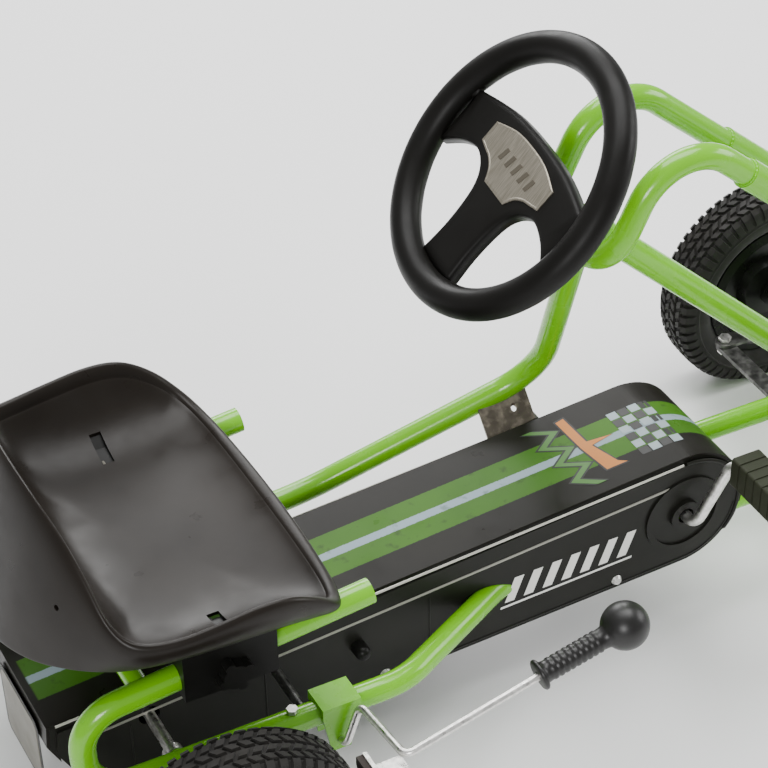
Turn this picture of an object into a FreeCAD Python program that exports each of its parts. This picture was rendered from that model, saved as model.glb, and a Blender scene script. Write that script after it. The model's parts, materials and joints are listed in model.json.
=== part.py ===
"""A child's pedal go kart: bent-tube frame, closed chain drive, bucket seat, steering and hand brake.

Millimetres. +X is forward, +Y is to the rider's left, +Z is up. The shapes are drawn from the rear axle line
(X = 0) and moved by -MID_X when written, so the row's origin is on the ground at the middle of the length.
"""
import math
import os

import FreeCAD, Part

V = FreeCAD.Vector

# ---- driving dimensions -------------------------------------------------------------------------------
WHEEL_R = 126.5            # 10 inch wheels
TYRE_W = 60.0
WHEEL_Y = 264.0            # rear wheel centre from the middle plane
FRONT_WHEEL_Y = 256.0
WHEELBASE = 915.0
FRONT_X = 1059.5           # foremost face of the bumper
REAR_X = -WHEEL_R
MID_X = (FRONT_X + REAR_X) / 2

TUBE_R = 12.5              # frame tube, 25 mm
TUBE_WALL = 2.0
RAIL_Y = 144.0             # seat rails
LOWER_Y = 148.0            # lower runs of the main tubes
LOWER_Z = 133.0
INNER_Y = 55.0             # inner rails that run through the chain case
INNER_Z = 118.0
LOOP_Y = 60.0              # legs of the steering hoop

AXLE_R = 6.0
CHAIN_PITCH = 12.7
RING_TEETH = 24
SPROCKET_TEETH = 12
RUN_LINKS = 47             # links on each straight run of the chain
RING_R = CHAIN_PITCH / (2 * math.sin(math.pi / RING_TEETH))
SPROCKET_R = CHAIN_PITCH / (2 * math.sin(math.pi / SPROCKET_TEETH))
CRANK_Z = 138.0
# the axle and crank stand as far apart as the chain's straight runs need
CENTRES = math.hypot(RUN_LINKS * CHAIN_PITCH, RING_R - SPROCKET_R)
CRANK_X = math.sqrt(CENTRES ** 2 - (CRANK_Z - WHEEL_R) ** 2)
CRANK_ARM = 78.0
CRANK_ANGLE = math.radians(59.0)
CRANK_PLANE = 92.0         # the arms swing this far from the middle plane
PEDAL_Y = 108.0            # inner face of a pedal
PEDAL_LEN = 92.0
PEDAL_WIDE = 34.0
PEDAL_TALL = 34.0
PEDAL_BACK = 14.0          # from the spindle to the pedal's back and underside
PEDAL_BELOW = 12.0

CASE_Y = 70.5              # half the width of the chain case
CASE_WALL = 2.5
CASE_NOSE_R = 72.5
CASE_NOSE_Z = 137.5
CASE_REAR_X = -100.0

STEER_TILT = math.radians(42.3)
STEER_X = 420.0            # middle of the steering wheel's rim
STEER_Z = 558.0
STEER_R = 125.0            # rim centreline
STEER_TWIST = 6.0          # the wheel is keyed to its shaft a little clockwise of straight
RIM_R = 15.5
DROP_ARM = 59.0
DROP_ARM_AT = 604.0        # along the column from the steering wheel
KINGPIN_Y = 195.0
KINGPIN_R = 5.0
STEER_ARM = 88.0

BRAKE_X = 155.0
BRAKE_Z = 104.0
LEVER_Y = 250.0

SEAT_T = 4.0               # wall of the moulded seat
SEAT_MIDDLE = 45.0         # middle of its floor
SEAT_FLOOR_Z = 272.0
# the seat's rim from the middle of the back round one side to the middle of the front lip
SEAT_RIM = [(-76, 0, 418), (-74, 55, 414), (-69, 98, 402), (-63, 134, 376), (-57, 163, 347), (-42, 181, 333),
            (-10, 190,
             330), (30, 193, 334), (65, 193, 338), (98, 191, 334), (127, 184, 316), (147, 171, 295),
            (157, 140, 285), (161, 80, 282), (162, 0, 281)]
# the hem of its outer wall, point for point below the rim
SEAT_HEM = [(-130, 0, 256), (-126, 45, 259), (-112, 90, 266), (-91, 128, 277), (-66, 160, 289),
            (-40, 181, 299),
            (-8, 188, 301), (30, 190, 300), (65, 190, 299), (98, 188, 296), (128, 183, 289), (150, 172, 279),
            (161, 142, 275), (166, 80, 275), (167, 0, 275)]
# fraction of the way in from the rim, and how much of the rim's height is left there
SEAT_SLOPE = [(0.93, 0.0), (0.6, 0.01), (0.4, 0.04), (0.26, 0.14), (0.15, 0.34), (0.08, 0.56), (0.035, 0.78),
              (0.0, 1.0)]

FIT = 0.05                 # radial running clearance
OUT = "parts"
os.makedirs(OUT, exist_ok=True)

COLUMN = V(math.cos(STEER_TILT), 0, -math.sin(STEER_TILT))      # down the steering column
COLUMN_DOWN = V(-math.sin(STEER_TILT), 0, -math.cos(STEER_TILT))  # square to it, towards the ground
STEER_CENTRE = V(STEER_X, 0, STEER_Z)
Y_AXIS = V(0, 1, 0)
Z_AXIS = V(0, 0, 1)
X_AXIS = V(1, 0, 0)

RAIL_SLOPE = 26.0 / 235.0
RAIL_FRONT = (195.0, RAIL_Y, 259.0)
BEND_X = -91.0
BEND_TOP_Z = RAIL_FRONT[2] - (RAIL_FRONT[0] - BEND_X) * RAIL_SLOPE
COLUMN_FOOT = V(503.0, 14.0, 437.0)       # top of the left main tube, under the steering hoop
BEAM_X = WHEELBASE
BEAM_HALF = 13.0
BEAM_Z = (108.0, 138.0)
LOOP_TOP = (557.0, 597.0)
LOOP_FOOT = (493.0, 463.0)
LEG_SLOPE = -0.82
BUMPER_X = FRONT_X - TUBE_R
LEG_END_Z = LOOP_TOP[1] + LEG_SLOPE * (BUMPER_X - LOOP_TOP[0])
LEFT_JOINT_X = 698.0
RIGHT_JOINT_X = 640.0
LEG_R = 15.0
OVERLAP = 60.0             # length of the hoop's leg inside the front leg tube


# ---- helpers ------------------------------------------------------------------------------------------
def on_column(distance, drop=0.0):
    """A point on the steering column's axis, or drop below it."""
    return STEER_CENTRE + COLUMN * distance + COLUMN_DOWN * drop


def cylinder(start, end, radius):
    axis = end - start
    return Part.makeCylinder(radius, axis.Length, start, axis)


def ring(start, end, outer, inner):
    return cylinder(start, end, outer).cut(cylinder(start, end, inner))


def box(low, high):
    return Part.makeBox(high[0] - low[0], high[1] - low[1], high[2] - low[2], V(*low))


def fuse(shapes):
    whole = shapes[0]
    for other in shapes[1:]:
        whole = whole.fuse(other)
    return whole.removeSplitter()


def mirrored(shape):
    """The same shape on the other side of the middle plane."""
    return shape.mirror(V(0, 0, 0), Y_AXIS)


def bent_wire(points, radii):
    """Straight runs through the points, joined by tangent arcs."""
    points = [V(*p) for p in points]
    edges = []
    start = points[0]
    for i in range(1, len(points) - 1):
        before = (points[i - 1] - points[i]).normalize()
        after = (points[i + 1] - points[i]).normalize()
        half = before.getAngle(after) / 2
        reach = radii[i - 1] / math.tan(half)
        enter = points[i] + before * reach
        leave = points[i] + after * reach
        middle = points[i] + (before + after).normalize() * (radii[i - 1] / math.sin(half) - radii[i - 1])
        edges.append(Part.LineSegment(start, enter).toShape())
        edges.append(Part.Arc(enter, middle, leave).toShape())
        start = leave
    edges.append(Part.LineSegment(start, points[-1]).toShape())
    return Part.Wire(edges)


def bent_bar(points, radii, radius):
    """A round bar along straight runs and tangent arcs."""
    wire = bent_wire(points, radii)
    start = V(*points[0])
    along = V(*points[1]) - start
    profile = Part.Wire(Part.Circle(start, along, radius).toShape())
    return wire.makePipeShell([profile], True, False)


def bent_tube(points, radii, radius=TUBE_R, wall=TUBE_WALL):
    return bent_bar(points, radii, radius).cut(bent_bar(points, radii, radius - wall))


def revolve_about_y(profile, x, z):
    """A solid of revolution about a line along Y; profile is (radius, y) corners."""
    corners = [V(x, y, z + r) for r, y in profile]
    face = Part.Face(Part.makePolygon(corners + corners[:1]))
    return face.revolve(V(x, 0, z), Y_AXIS, 360)


def hex_prism(start, end, across):
    """A hexagon bar, for nuts and bolt heads."""
    axis = end - start
    radius = across / math.sqrt(3)
    side = axis.cross(X_AXIS)
    if side.Length < 0.1 * axis.Length:
        side = axis.cross(Z_AXIS)
    side.normalize()
    other = axis.cross(side).normalize()
    turns = [i * math.pi / 3 for i in range(6)]
    corners = [start + side * (radius * math.cos(a)) + other * (radius * math.sin(a)) for a in turns]
    return Part.Face(Part.makePolygon(corners + corners[:1])).extrude(axis)


def bolt(start, end, shank, across, head, nut=0.0):
    """A hexagon bolt: the shank runs from start to end, with the head before start and a nut after end."""
    along = (end - start).normalize()
    pieces = [cylinder(start - along * head * 0.5, end + along * nut * 1.2, shank)]
    pieces.append(hex_prism(start - along * head, start, across))
    if nut:
        pieces.append(hex_prism(end, end + along * nut, across))
    return fuse(pieces)


def plate(corners, thickness_vector):
    corners = [V(*c) for c in corners]
    return Part.Face(Part.makePolygon(corners + corners[:1])).extrude(V(*thickness_vector))


NODES = {}


def add(name, *shapes):
    """Keeps the solids that make one named piece."""
    solids = [s for shape in shapes for s in shape.Solids]
    NODES.setdefault(name, []).extend(solids)


def cut_by(name, *tools):
    """Notches a piece round the pieces that it is welded to or that pass through it."""
    kept = []
    for solid in NODES[name]:
        for tool in tools:
            solid = solid.cut(tool)
        kept.extend(solid.Solids)
    NODES[name] = [s for s in kept if s.Volume > 20.0]


# ---- frame --------------------------------------------------------------------------------------------


def left_main_points():
    return [RAIL_FRONT, (BEND_X, RAIL_Y, BEND_TOP_Z), (BEND_X, LOWER_Y - 1, LOWER_Z),
            (255, LOWER_Y, LOWER_Z),
            (518, 94, 243), tuple(COLUMN_FOOT)]


def right_main_points():
    rail = (RAIL_FRONT[0], -RAIL_Y, RAIL_FRONT[2])
    return [rail, (BEND_X, -RAIL_Y, BEND_TOP_Z), (BEND_X, -LOWER_Y + 1, LOWER_Z), (232, -LOWER_Y, LOWER_Z),
            (392, -INNER_Y, INNER_Z), (BEAM_X - BEAM_HALF, -INNER_Y, INNER_Z)]


def leg_z(x):
    return LOOP_TOP[1] + LEG_SLOPE * (x - LOOP_TOP[0])


def hoop_points():
    """Up the left leg, under the steering wheel and down the right leg."""
    left, right = LEFT_JOINT_X + OVERLAP, RIGHT_JOINT_X + OVERLAP
    top_x, top_z = LOOP_TOP
    foot_x, foot_z = LOOP_FOOT
    return [(left, LOOP_Y, leg_z(left)), (top_x, LOOP_Y, top_z), (foot_x, LOOP_Y, foot_z),
            (foot_x, -LOOP_Y, foot_z), (top_x, -LOOP_Y, top_z), (right, -LOOP_Y, leg_z(right))]


def front_leg_ends(side):
    joint = LEFT_JOINT_X if side > 0 else RIGHT_JOINT_X
    return V(joint, side * LOOP_Y, leg_z(joint)), V(BUMPER_X, side * LOOP_Y, leg_z(BUMPER_X))


def make_frame():
    add("left_main_tube", bent_tube(left_main_points(), [42, 46, 200, 70]))
    add("right_main_tube", bent_tube(right_main_points(), [42, 46, 90, 90]))
    add("left_inner_rail", bent_tube([(430, INNER_Y, INNER_Z), (BEAM_X - BEAM_HALF, INNER_Y, INNER_Z)], []))
    add("steering_hoop", bent_tube(hoop_points(), [60, 44, 44, 60]))
    column = cylinder(on_column(92), on_column(556), 14)
    add("steering_column_tube", column.cut(cylinder(on_column(91), on_column(557), 11)))
    cut_by("steering_hoop", column)
    hoop_solid = bent_bar(hoop_points(), [60, 44, 44, 60], TUBE_R)
    cut_by("left_main_tube", hoop_solid, column)
    add("front_leg_tubes", *[ring(*front_leg_ends(side), LEG_R, TUBE_R) for side in (1, -1)])
    add("tube_end_plugs", *[cylinder(V(*p), V(*p) + d * 4, TUBE_R) for p, d in rail_ends()])
    make_front_axle_beam()
    make_bumper()
    make_seat_rail_tie()
    make_column_support(column)


def rail_ends():
    """Where the seat rails end, with the direction out of each tube."""
    along = V(1, 0, RAIL_SLOPE).normalize()
    return [((RAIL_FRONT[0], y, RAIL_FRONT[2]), along) for y in (RAIL_Y, -RAIL_Y)]


def make_front_axle_beam():
    low = (BEAM_X - BEAM_HALF, -KINGPIN_Y, BEAM_Z[0])
    high = (BEAM_X + BEAM_HALF, KINGPIN_Y, BEAM_Z[1])
    outer = box(low, high)
    inner = box((low[0] + 2, low[1] - 1, low[2] + 2), (high[0] - 2, high[1] + 1, high[2] - 2))
    beam = outer.cut(inner)
    sleeves = []
    for y in (KINGPIN_Y, -KINGPIN_Y):
        foot, head = V(BEAM_X, y, BEAM_Z[0]), V(BEAM_X, y, 149)
        near, far = y * (1 - 15 / KINGPIN_Y), y * 1.2
        beam = beam.cut(box((BEAM_X - 20, min(near, far), 90), (BEAM_X + 20, max(near, far), 160)))
        web = box((BEAM_X - 8, min(near, y), BEAM_Z[0] + 4), (BEAM_X + 8, max(near, y), BEAM_Z[1] - 4))
        sleeve = cylinder(foot, head, 12).fuse(web)
        sleeves.append(sleeve.cut(cylinder(foot - Z_AXIS, head + Z_AXIS, KINGPIN_R)))
    add("front_axle_beam", beam, *sleeves)


def make_bumper():
    """Stays from the axle beam, a bowed cross tube that closes the nose, and posts up to the front legs."""
    points = [(BUMPER_X - 60, 120, INNER_Z), (BUMPER_X, 96, INNER_Z), (BUMPER_X, -96, INNER_Z),
              (BUMPER_X - 60, -120, INNER_Z)]
    cross_solid = bent_bar(points, [26, 26], TUBE_R)
    pieces = [bent_tube(points, [26, 26])]
    for side in (1, -1):
        stay = bent_tube([(BEAM_X + BEAM_HALF, side * INNER_Y, INNER_Z),
                          (BUMPER_X, side * INNER_Y, INNER_Z)], [])
        post = bent_tube([(BUMPER_X - 14, side * LOOP_Y, INNER_Z),
                          (BUMPER_X - 14, side * LOOP_Y, LEG_END_Z + 8)], [])
        pieces.append(stay.cut(cross_solid))
        pieces.append(post.cut(cross_solid).cut(cylinder(*front_leg_ends(side), LEG_R)).cut(stay))
    add("front_bumper", *[max(piece.Solids, key=lambda s: s.Volume) for piece in pieces])
    ends = [((BUMPER_X - 60, s * 120, INNER_Z), V(-60, s * 24, 0).normalize()) for s in (1, -1)]
    ends += [(tuple(front_leg_ends(s)[1]), V(1, 0, LEG_SLOPE).normalize()) for s in (1, -1)]
    radii = [TUBE_R, TUBE_R, LEG_R, LEG_R]
    plugs = [cylinder(V(*p), V(*p) + d * 3, r) for (p, d), r in zip(ends, radii)]
    add("tube_end_plugs", *plugs)
    cut_by("front_bumper", *plugs)


def make_seat_rail_tie():
    """The tube between the two seat rails, behind the rider."""
    x = BEND_X + 62
    z = BEND_TOP_Z + 62 * RAIL_SLOPE
    tie = ring(V(x, -RAIL_Y, z), V(x, RAIL_Y, z), 10, 8.4)
    for points in (left_main_points(), right_main_points()):
        tie = tie.cut(bent_bar(points[:4], [42, 46], TUBE_R))
    add("seat_rail_tie", max(tie.Solids, key=lambda s: s.Volume))


def make_column_support(column):
    """A folded plate on the inner rails that carries the foot of the steering column tube."""
    x = 801.0
    top = STEER_Z - (x - STEER_X) * math.tan(STEER_TILT)
    plate_z = INNER_Z + TUBE_R
    corners = [(x, -INNER_Y - 8, plate_z), (x, INNER_Y + 8, plate_z), (x, 16, top), (x, -16, top)]
    upright = plate(corners, (3, 0, 0))
    for y in (-INNER_Y, INNER_Y):
        upright = upright.cut(cylinder(V(x - 5, y, INNER_Z), V(x + 8, y, INNER_Z), TUBE_R))
    add("column_support_plate", upright.cut(column))


# ---- chain case ---------------------------------------------------------------------------------------
def case_outline(inset=0.0, y=0.0, drop=0.0):
    """The case's side view as a closed wire: flat top, round nose, straight bottom and a short tail."""
    nose_r = CASE_NOSE_R - inset
    nose = V(599.0, y, CASE_NOSE_Z)
    top_dir = V(1, 0, 0.0815).normalize()
    top_n = V(-top_dir.z, 0, top_dir.x)
    low_dir = V(1, 0, 0.041).normalize()
    low_n = V(low_dir.z, 0, -low_dir.x)
    top_tangent = nose + top_n * nose_r
    low_tangent = nose + low_n * nose_r
    tail_x = CASE_REAR_X + inset
    tail_top = top_tangent - top_dir * ((top_tangent.x - tail_x) / top_dir.x)
    low_end_x = tail_x + 42
    tail_low = low_tangent - low_dir * ((low_tangent.x - low_end_x) / low_dir.x)
    tail_mid = V(tail_x - 2, y, tail_top.z - 24 + drop)
    edges = [Part.LineSegment(tail_top, top_tangent).toShape(),
             Part.Arc(top_tangent, nose + X_AXIS * nose_r, low_tangent).toShape(),
             Part.LineSegment(low_tangent, tail_low).toShape(),
             Part.LineSegment(tail_low, tail_mid).toShape(),
             Part.LineSegment(tail_mid, tail_top).toShape()]
    return Part.Wire(edges)


def case_slab(inset, y_from, y_to):
    return Part.Face(case_outline(inset, y_from)).extrude(V(0, y_to - y_from, 0))


def make_case():
    """Two dished side shells and a wrap-over cover that carries the stripes."""
    crank = V(CRANK_X, 0, CRANK_Z)
    side_depth = 22.0
    dish = case_slab(3.0, CASE_Y - side_depth, CASE_Y - 3).fuse(case_slab(9.0, CASE_Y - 3, CASE_Y))
    hollow = case_slab(3.0 + CASE_WALL, CASE_Y - side_depth - 1, CASE_Y - 3 - CASE_WALL)
    hollow = hollow.fuse(case_slab(9.0 + CASE_WALL, CASE_Y - 3 - CASE_WALL - 0.5, CASE_Y - CASE_WALL))
    shell = dish.cut(hollow)
    floor = case_slab(3.0, 0.15, CASE_Y - side_depth + 1).cut(case_slab(3.0 + CASE_WALL, 0, CASE_Y))
    shell = shell.fuse(floor.common(box((CASE_REAR_X - 20, 0, 20), (720, 100, 88))))
    boss = ring(crank + Y_AXIS * (CASE_Y - 2), crank + Y_AXIS * (CASE_Y + 2.5), 46, 39)
    hub = ring(crank + Y_AXIS * (CASE_Y - 2), crank + Y_AXIS * (CASE_Y + 5), 17, 9)
    shell = shell.fuse(boss).fuse(hub)
    shell = shell.cut(cylinder(crank + Y_AXIS * 40, crank + Y_AXIS * 90, 9))
    shell = shell.cut(cylinder(V(0, 40, WHEEL_R), V(0, 90, WHEEL_R), 11))
    left, right = shell, mirrored(shell)
    right = right.cut(bent_bar(right_main_points(), [42, 46, 90, 90], TUBE_R + 1.0))
    for side, case in ((1, left), (-1, right)):
        nose_hole = cylinder(V(560, side * INNER_Y, INNER_Z), V(700, side * INNER_Y, INNER_Z), TUBE_R + 1.0)
        case = case.cut(nose_hole)
        if side == 1:
            case = case.cut(cylinder(V(400, INNER_Y, INNER_Z), V(560, INNER_Y, INNER_Z), TUBE_R + 1.0))
        add("chain_case_left" if side == 1 else "chain_case_right", case)
    band = case_slab(0.0, -CASE_Y + 3, CASE_Y - 3).cut(case_slab(2.8, -CASE_Y, CASE_Y))
    keep = box((CASE_REAR_X - 10, -100, 100), (660, 100, 300)).fuse(box((640, -100, 92), (700, 100, 300)))
    below = Part.Face(Part.makePolygon([V(-90, -100, 20), V(-90, -100, 139), V(600, -100, 196),
                                        V(640, -100, 92),
                                        V(640, -100, 20), V(-90, -100, 20)])).extrude(V(0, 200, 0))
    band = band.common(keep).cut(below)
    for side in (1, -1):
        band = band.cut(cylinder(V(600, side * INNER_Y, INNER_Z), V(720, side * INNER_Y, INNER_Z),
                                 TUBE_R + 1.0))
    add("chain_case_cover", band)


def case_bottom(x):
    return 61.9 + (x - 599.0) * 0.041 + 3.0


def make_case_hardware():
    """Screws along the shells, the bolted stand-off and the inspection plug on the right side."""
    screws = []
    for side in (1, -1):
        for x in (-60, 250, 520):
            z = case_bottom(x) + 16
            face = V(x, side * (CASE_Y), z)
            screws.append(Part.makeCone(6, 4, 3, face, Y_AXIS * side))
    add("case_screws", *screws)
    plug_at = V(220, -CASE_Y, 118)
    plug = cylinder(plug_at, plug_at - Y_AXIS * 11, 8).fuse(Part.makeSphere(8, plug_at - Y_AXIS * 11))
    add("case_vent_plug", plug)
    corners = [(446, 104), (500, 100), (500, CASE_Y), (446, CASE_Y)]
    tab = plate([(x, y, 184 + 0.25 * (x - 446) + 1.05 * (y - CASE_Y)) for x, y in corners], (0, 0, 3.5))
    foot = plate([(446, CASE_Y, 186), (500, CASE_Y, 199), (500, CASE_Y, 148), (446, CASE_Y, 148)], (0, 3, 0))
    left_tube = bent_bar(left_main_points(), [42, 46, 200, 70], TUBE_R)
    hole = cylinder(V(482, 85, 170), V(482, 85, 230), 3)
    bracket = tab.fuse(foot).cut(left_tube).cut(hole)
    add("case_bracket", max(bracket.Solids, key=lambda s: s.Volume))
    add("frame_bolts",
        *[bolt(V(x, CASE_Y + 3, 162), V(x, CASE_Y - CASE_WALL, 162), 3, 10, 4, 4) for x in (458, 488)])
    add("frame_bolts",
        bolt(V(113, -LOWER_Y, LOWER_Z + TUBE_R), V(113, -LOWER_Y, LOWER_Z - TUBE_R), 3, 10, 5, 5))
    for head in NODES["frame_bolts"]:
        cut_by("case_bracket", head)
        cut_by("chain_case_left", head)
        cut_by("right_main_tube", head)
    rod = cylinder(V(128, -CASE_Y, LOWER_Z), V(128, -LOWER_Y, LOWER_Z), 5)
    add("case_standoff", rod.cut(bent_bar(right_main_points(), [42, 46, 90, 90], TUBE_R)))


# ---- drive --------------------------------------------------------------------------------------------
def sprocket(teeth, x, z, y_half, bore, first_angle):
    """A flat chain wheel whose tooth gaps seat the chain's rollers."""
    pitch_r = CHAIN_PITCH / (2 * math.sin(math.pi / teeth))
    blank = cylinder(V(x, -y_half, z), V(x, y_half, z), pitch_r + 1.0)
    for i in range(teeth):
        a = first_angle + 2 * math.pi * i / teeth
        at = V(x + pitch_r * math.cos(a), -y_half - 1, z + pitch_r * math.sin(a))
        gap = cylinder(at, at + Y_AXIS * (2 * y_half + 2), 4.3)
        out = at + V(math.cos(a), 0, math.sin(a)) * 7
        blank = blank.cut(gap.fuse(cylinder(out, out + Y_AXIS * (2 * y_half + 2), 7.2)))
    return blank.cut(cylinder(V(x, -20, z), V(x, 20, z), bore))


def chain_up_angle():
    """The direction from each shaft to where the chain's upper run touches its wheel."""
    tilt = math.asin((CRANK_Z - WHEEL_R) / CENTRES)
    return tilt + math.pi / 2 + math.asin((RING_R - SPROCKET_R) / CENTRES)


def chain_rollers():
    """Roller centres in order: upper run, half round the chain wheel, lower run, half round the sprocket."""
    rear, front = V(0, 0, WHEEL_R), V(CRANK_X, 0, CRANK_Z)
    up = chain_up_angle()
    out = V(math.cos(up), 0, math.sin(up))
    runs = [(rear + out * SPROCKET_R, front + out * RING_R), (front - out * RING_R, rear - out * SPROCKET_R)]
    wraps = [(front, RING_R, up, RING_TEETH), (rear, SPROCKET_R, up + math.pi, SPROCKET_TEETH)]
    rollers = []
    for (start, end), (centre, radius, first, teeth) in zip(runs, wraps):
        rollers += [start + (end - start) * (i / RUN_LINKS) for i in range(RUN_LINKS)]
        turns = [first - 2 * math.pi * i / teeth for i in range(teeth // 2)]
        rollers += [centre + V(math.cos(a), 0, math.sin(a)) * radius for a in turns]
    return rollers


def link_plate(a, b, y, thickness, radius):
    """One dog-bone side plate from pin a to pin b."""
    low = V(0, y, 0)
    ends = cylinder(a + low, a + low + Y_AXIS * thickness, radius)
    ends = ends.fuse(cylinder(b + low, b + low + Y_AXIS * thickness, radius))
    along = (b - a).normalize()
    side = V(-along.z, 0, along.x) * (radius * 0.72)
    corners = [a + side + low, b + side + low, b - side + low, a - side + low]
    return ends.fuse(Part.Face(Part.makePolygon(corners + corners[:1])).extrude(Y_AXIS * thickness))


def make_drive():
    rollers = chain_rollers()
    links = []
    for i, here in enumerate(rollers):
        there = rollers[(i + 1) % len(rollers)]
        inner = i % 2 == 0
        y = 2.6 if inner else 3.8
        pieces = [link_plate(here, there, y, 1.0, 4.6), link_plate(here, there, -y - 1.0, 1.0, 4.6)]
        if inner:
            pieces += [ring(p - Y_AXIS * 2.6, p + Y_AXIS * 2.6, 3.9, 2.0) for p in (here, there)]
            link = fuse(pieces)
            for p in (here, there):
                link = link.cut(cylinder(p - Y_AXIS * 5, p + Y_AXIS * 5, 2.0))
        else:
            pieces += [cylinder(p - Y_AXIS * 4.4, p + Y_AXIS * 4.4, 1.9) for p in (here, there)]
            link = fuse(pieces)
        links.append(link)
    add("drive_chain", *links)
    up = chain_up_angle()
    chainring = sprocket(RING_TEETH, CRANK_X, CRANK_Z, 1.5, AXLE_R, up)
    for i in range(5):
        a = 2 * math.pi * i / 5 + 0.3
        at = V(CRANK_X + 28 * math.cos(a), -5, CRANK_Z + 28 * math.sin(a))
        chainring = chainring.cut(cylinder(at, at + Y_AXIS * 10, 9))
    add("chainring", chainring)
    hub = ring(V(0, 1.5, WHEEL_R), V(0, 14, WHEEL_R), 13, AXLE_R)
    add("axle_sprocket", sprocket(SPROCKET_TEETH, 0, WHEEL_R, 1.5, AXLE_R, up).fuse(hub))


def crank_points():
    tip = V(CRANK_ARM * math.cos(CRANK_ANGLE), 0, CRANK_ARM * math.sin(CRANK_ANGLE))
    axis = V(CRANK_X, 0, CRANK_Z)
    pedal_end = PEDAL_Y + PEDAL_LEN + 3
    right = [axis + tip - Y_AXIS * pedal_end, axis + tip - Y_AXIS * CRANK_PLANE, axis - Y_AXIS * CRANK_PLANE]
    left = [axis + Y_AXIS * CRANK_PLANE, axis - tip + Y_AXIS * CRANK_PLANE, axis - tip + Y_AXIS * pedal_end]
    return [tuple(p) for p in right + left], tip, axis


def make_crank():
    points, tip, axis = crank_points()
    add("crank", bent_bar(points, [12, 12, 12, 12], AXLE_R))
    blocks = []
    bushes = []
    for side in (1, -1):
        y0 = side * INNER_Y
        block = box((CRANK_X - 17, min(y0 - 9, y0 + 9), INNER_Z),
                    (CRANK_X + 17, max(y0 - 9, y0 + 9), CRANK_Z + 14))
        block = block.cut(cylinder(V(CRANK_X - 40, y0, INNER_Z), V(CRANK_X + 40, y0, INNER_Z), TUBE_R))
        bore = (V(CRANK_X, y0 - 20, CRANK_Z), V(CRANK_X, y0 + 20, CRANK_Z))
        block = block.cut(cylinder(*bore, 9))
        kept = max(block.Solids, key=lambda s: s.Volume)
        blocks.append(kept)
        bush = ring(V(CRANK_X, y0 - 10, CRANK_Z), V(CRANK_X, y0 + 10, CRANK_Z), 9, AXLE_R + FIT)
        rail = cylinder(V(CRANK_X - 40, y0, INNER_Z), V(CRANK_X + 40, y0, INNER_Z), TUBE_R)
        bushes.append(bush.cut(rail))
    add("crank_bearing_blocks", *blocks)
    add("shaft_bushes", *bushes)
    for side, name in ((1, "left"), (-1, "right")):
        at = axis - tip * side
        make_pedal(name, side, at)


def make_pedal(name, side, at):
    """A ribbed block pedal, free on the crank's spindle, which runs low and to the back in it."""
    y0, y1 = side * PEDAL_Y, side * (PEDAL_Y + PEDAL_LEN)
    low_x, high_x = at.x - PEDAL_BACK, at.x - PEDAL_BACK + PEDAL_WIDE
    low_z, high_z = at.z - PEDAL_BELOW, at.z - PEDAL_BELOW + PEDAL_TALL
    block = box((low_x, min(y0, y1), low_z), (high_x, max(y0, y1), high_z))
    long_edges = [e for e in block.Edges if abs(e.tangentAt(e.FirstParameter).y) > 0.99]
    block = block.makeFillet(3.0, long_edges)
    ribs = 7
    pitch = PEDAL_LEN / ribs
    for i in range(1, ribs):
        y = y0 + side * pitch * i
        groove = box((low_x - 5, y - 1.2, low_z - 5), (high_x + 5, y + 1.2, high_z + 5))
        core = box((low_x + 1.2, y - 2, low_z + 1.2), (high_x - 1.2, y + 2, high_z - 1.2))
        block = block.cut(groove.cut(core))
    add("pedal_" + name,
        block.cut(cylinder(V(at.x, y0 - side, at.z), V(at.x, y1 + side, at.z), AXLE_R + FIT)))
    end = V(at.x, y1 + side * 0.4, at.z)
    nut = hex_prism(end, end + Y_AXIS * (side * 7), 16)
    add("crank", nut.cut(cylinder(end - Y_AXIS * (side * 10),
                                  V(at.x, side * (PEDAL_Y + PEDAL_LEN + 3), at.z), AXLE_R)))


def make_rear_axle():
    axle = cylinder(V(0, -WHEEL_Y - 38, WHEEL_R), V(0, WHEEL_Y + 38, WHEEL_R), AXLE_R)
    add("rear_axle", axle)
    for side in (1, -1):
        y0 = side * LOWER_Y
        ends = (V(0, y0 - 15, WHEEL_R), V(0, y0 + 15, WHEEL_R))
        sleeve_solid = cylinder(*ends, 11)
        add("rear_bearing_sleeves", ring(*ends, 11, 8.5))
        add("shaft_bushes", ring(ends[0] - Y_AXIS * 1, ends[1] + Y_AXIS * 1, 8.5, AXLE_R + FIT))
        cut_by("left_main_tube" if side == 1 else "right_main_tube", sleeve_solid)
        inboard, outboard = side * (LOWER_Y - 17), side * (LOWER_Y + 17)
        for y, step in ((inboard, -side), (outboard, side)):
            add("rear_axle", ring(V(0, y + step * 0.3, WHEEL_R), V(0, y + step * 8, WHEEL_R), 10, AXLE_R))


# ---- wheels -------------------------------------------------------------------------------------------
def tyre_profile(y):
    """(radius, y) corners of the tyre's section: a broad rounded tread and beads on the rim."""
    half = TYRE_W / 2
    crown = [(WHEEL_R, y - half + 16), (WHEEL_R, y + half - 16), (WHEEL_R - 3.5, y + half - 8),
             (WHEEL_R - 11, y + half - 2), (WHEEL_R - 24, y + half), (88, y + half - 4), (83, y + half - 10)]
    back = [(r, 2 * y - yy) for r, yy in reversed(crown[2:])]
    return crown + [(80, y + half - 14), (80, y - half + 14)] + back


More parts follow.
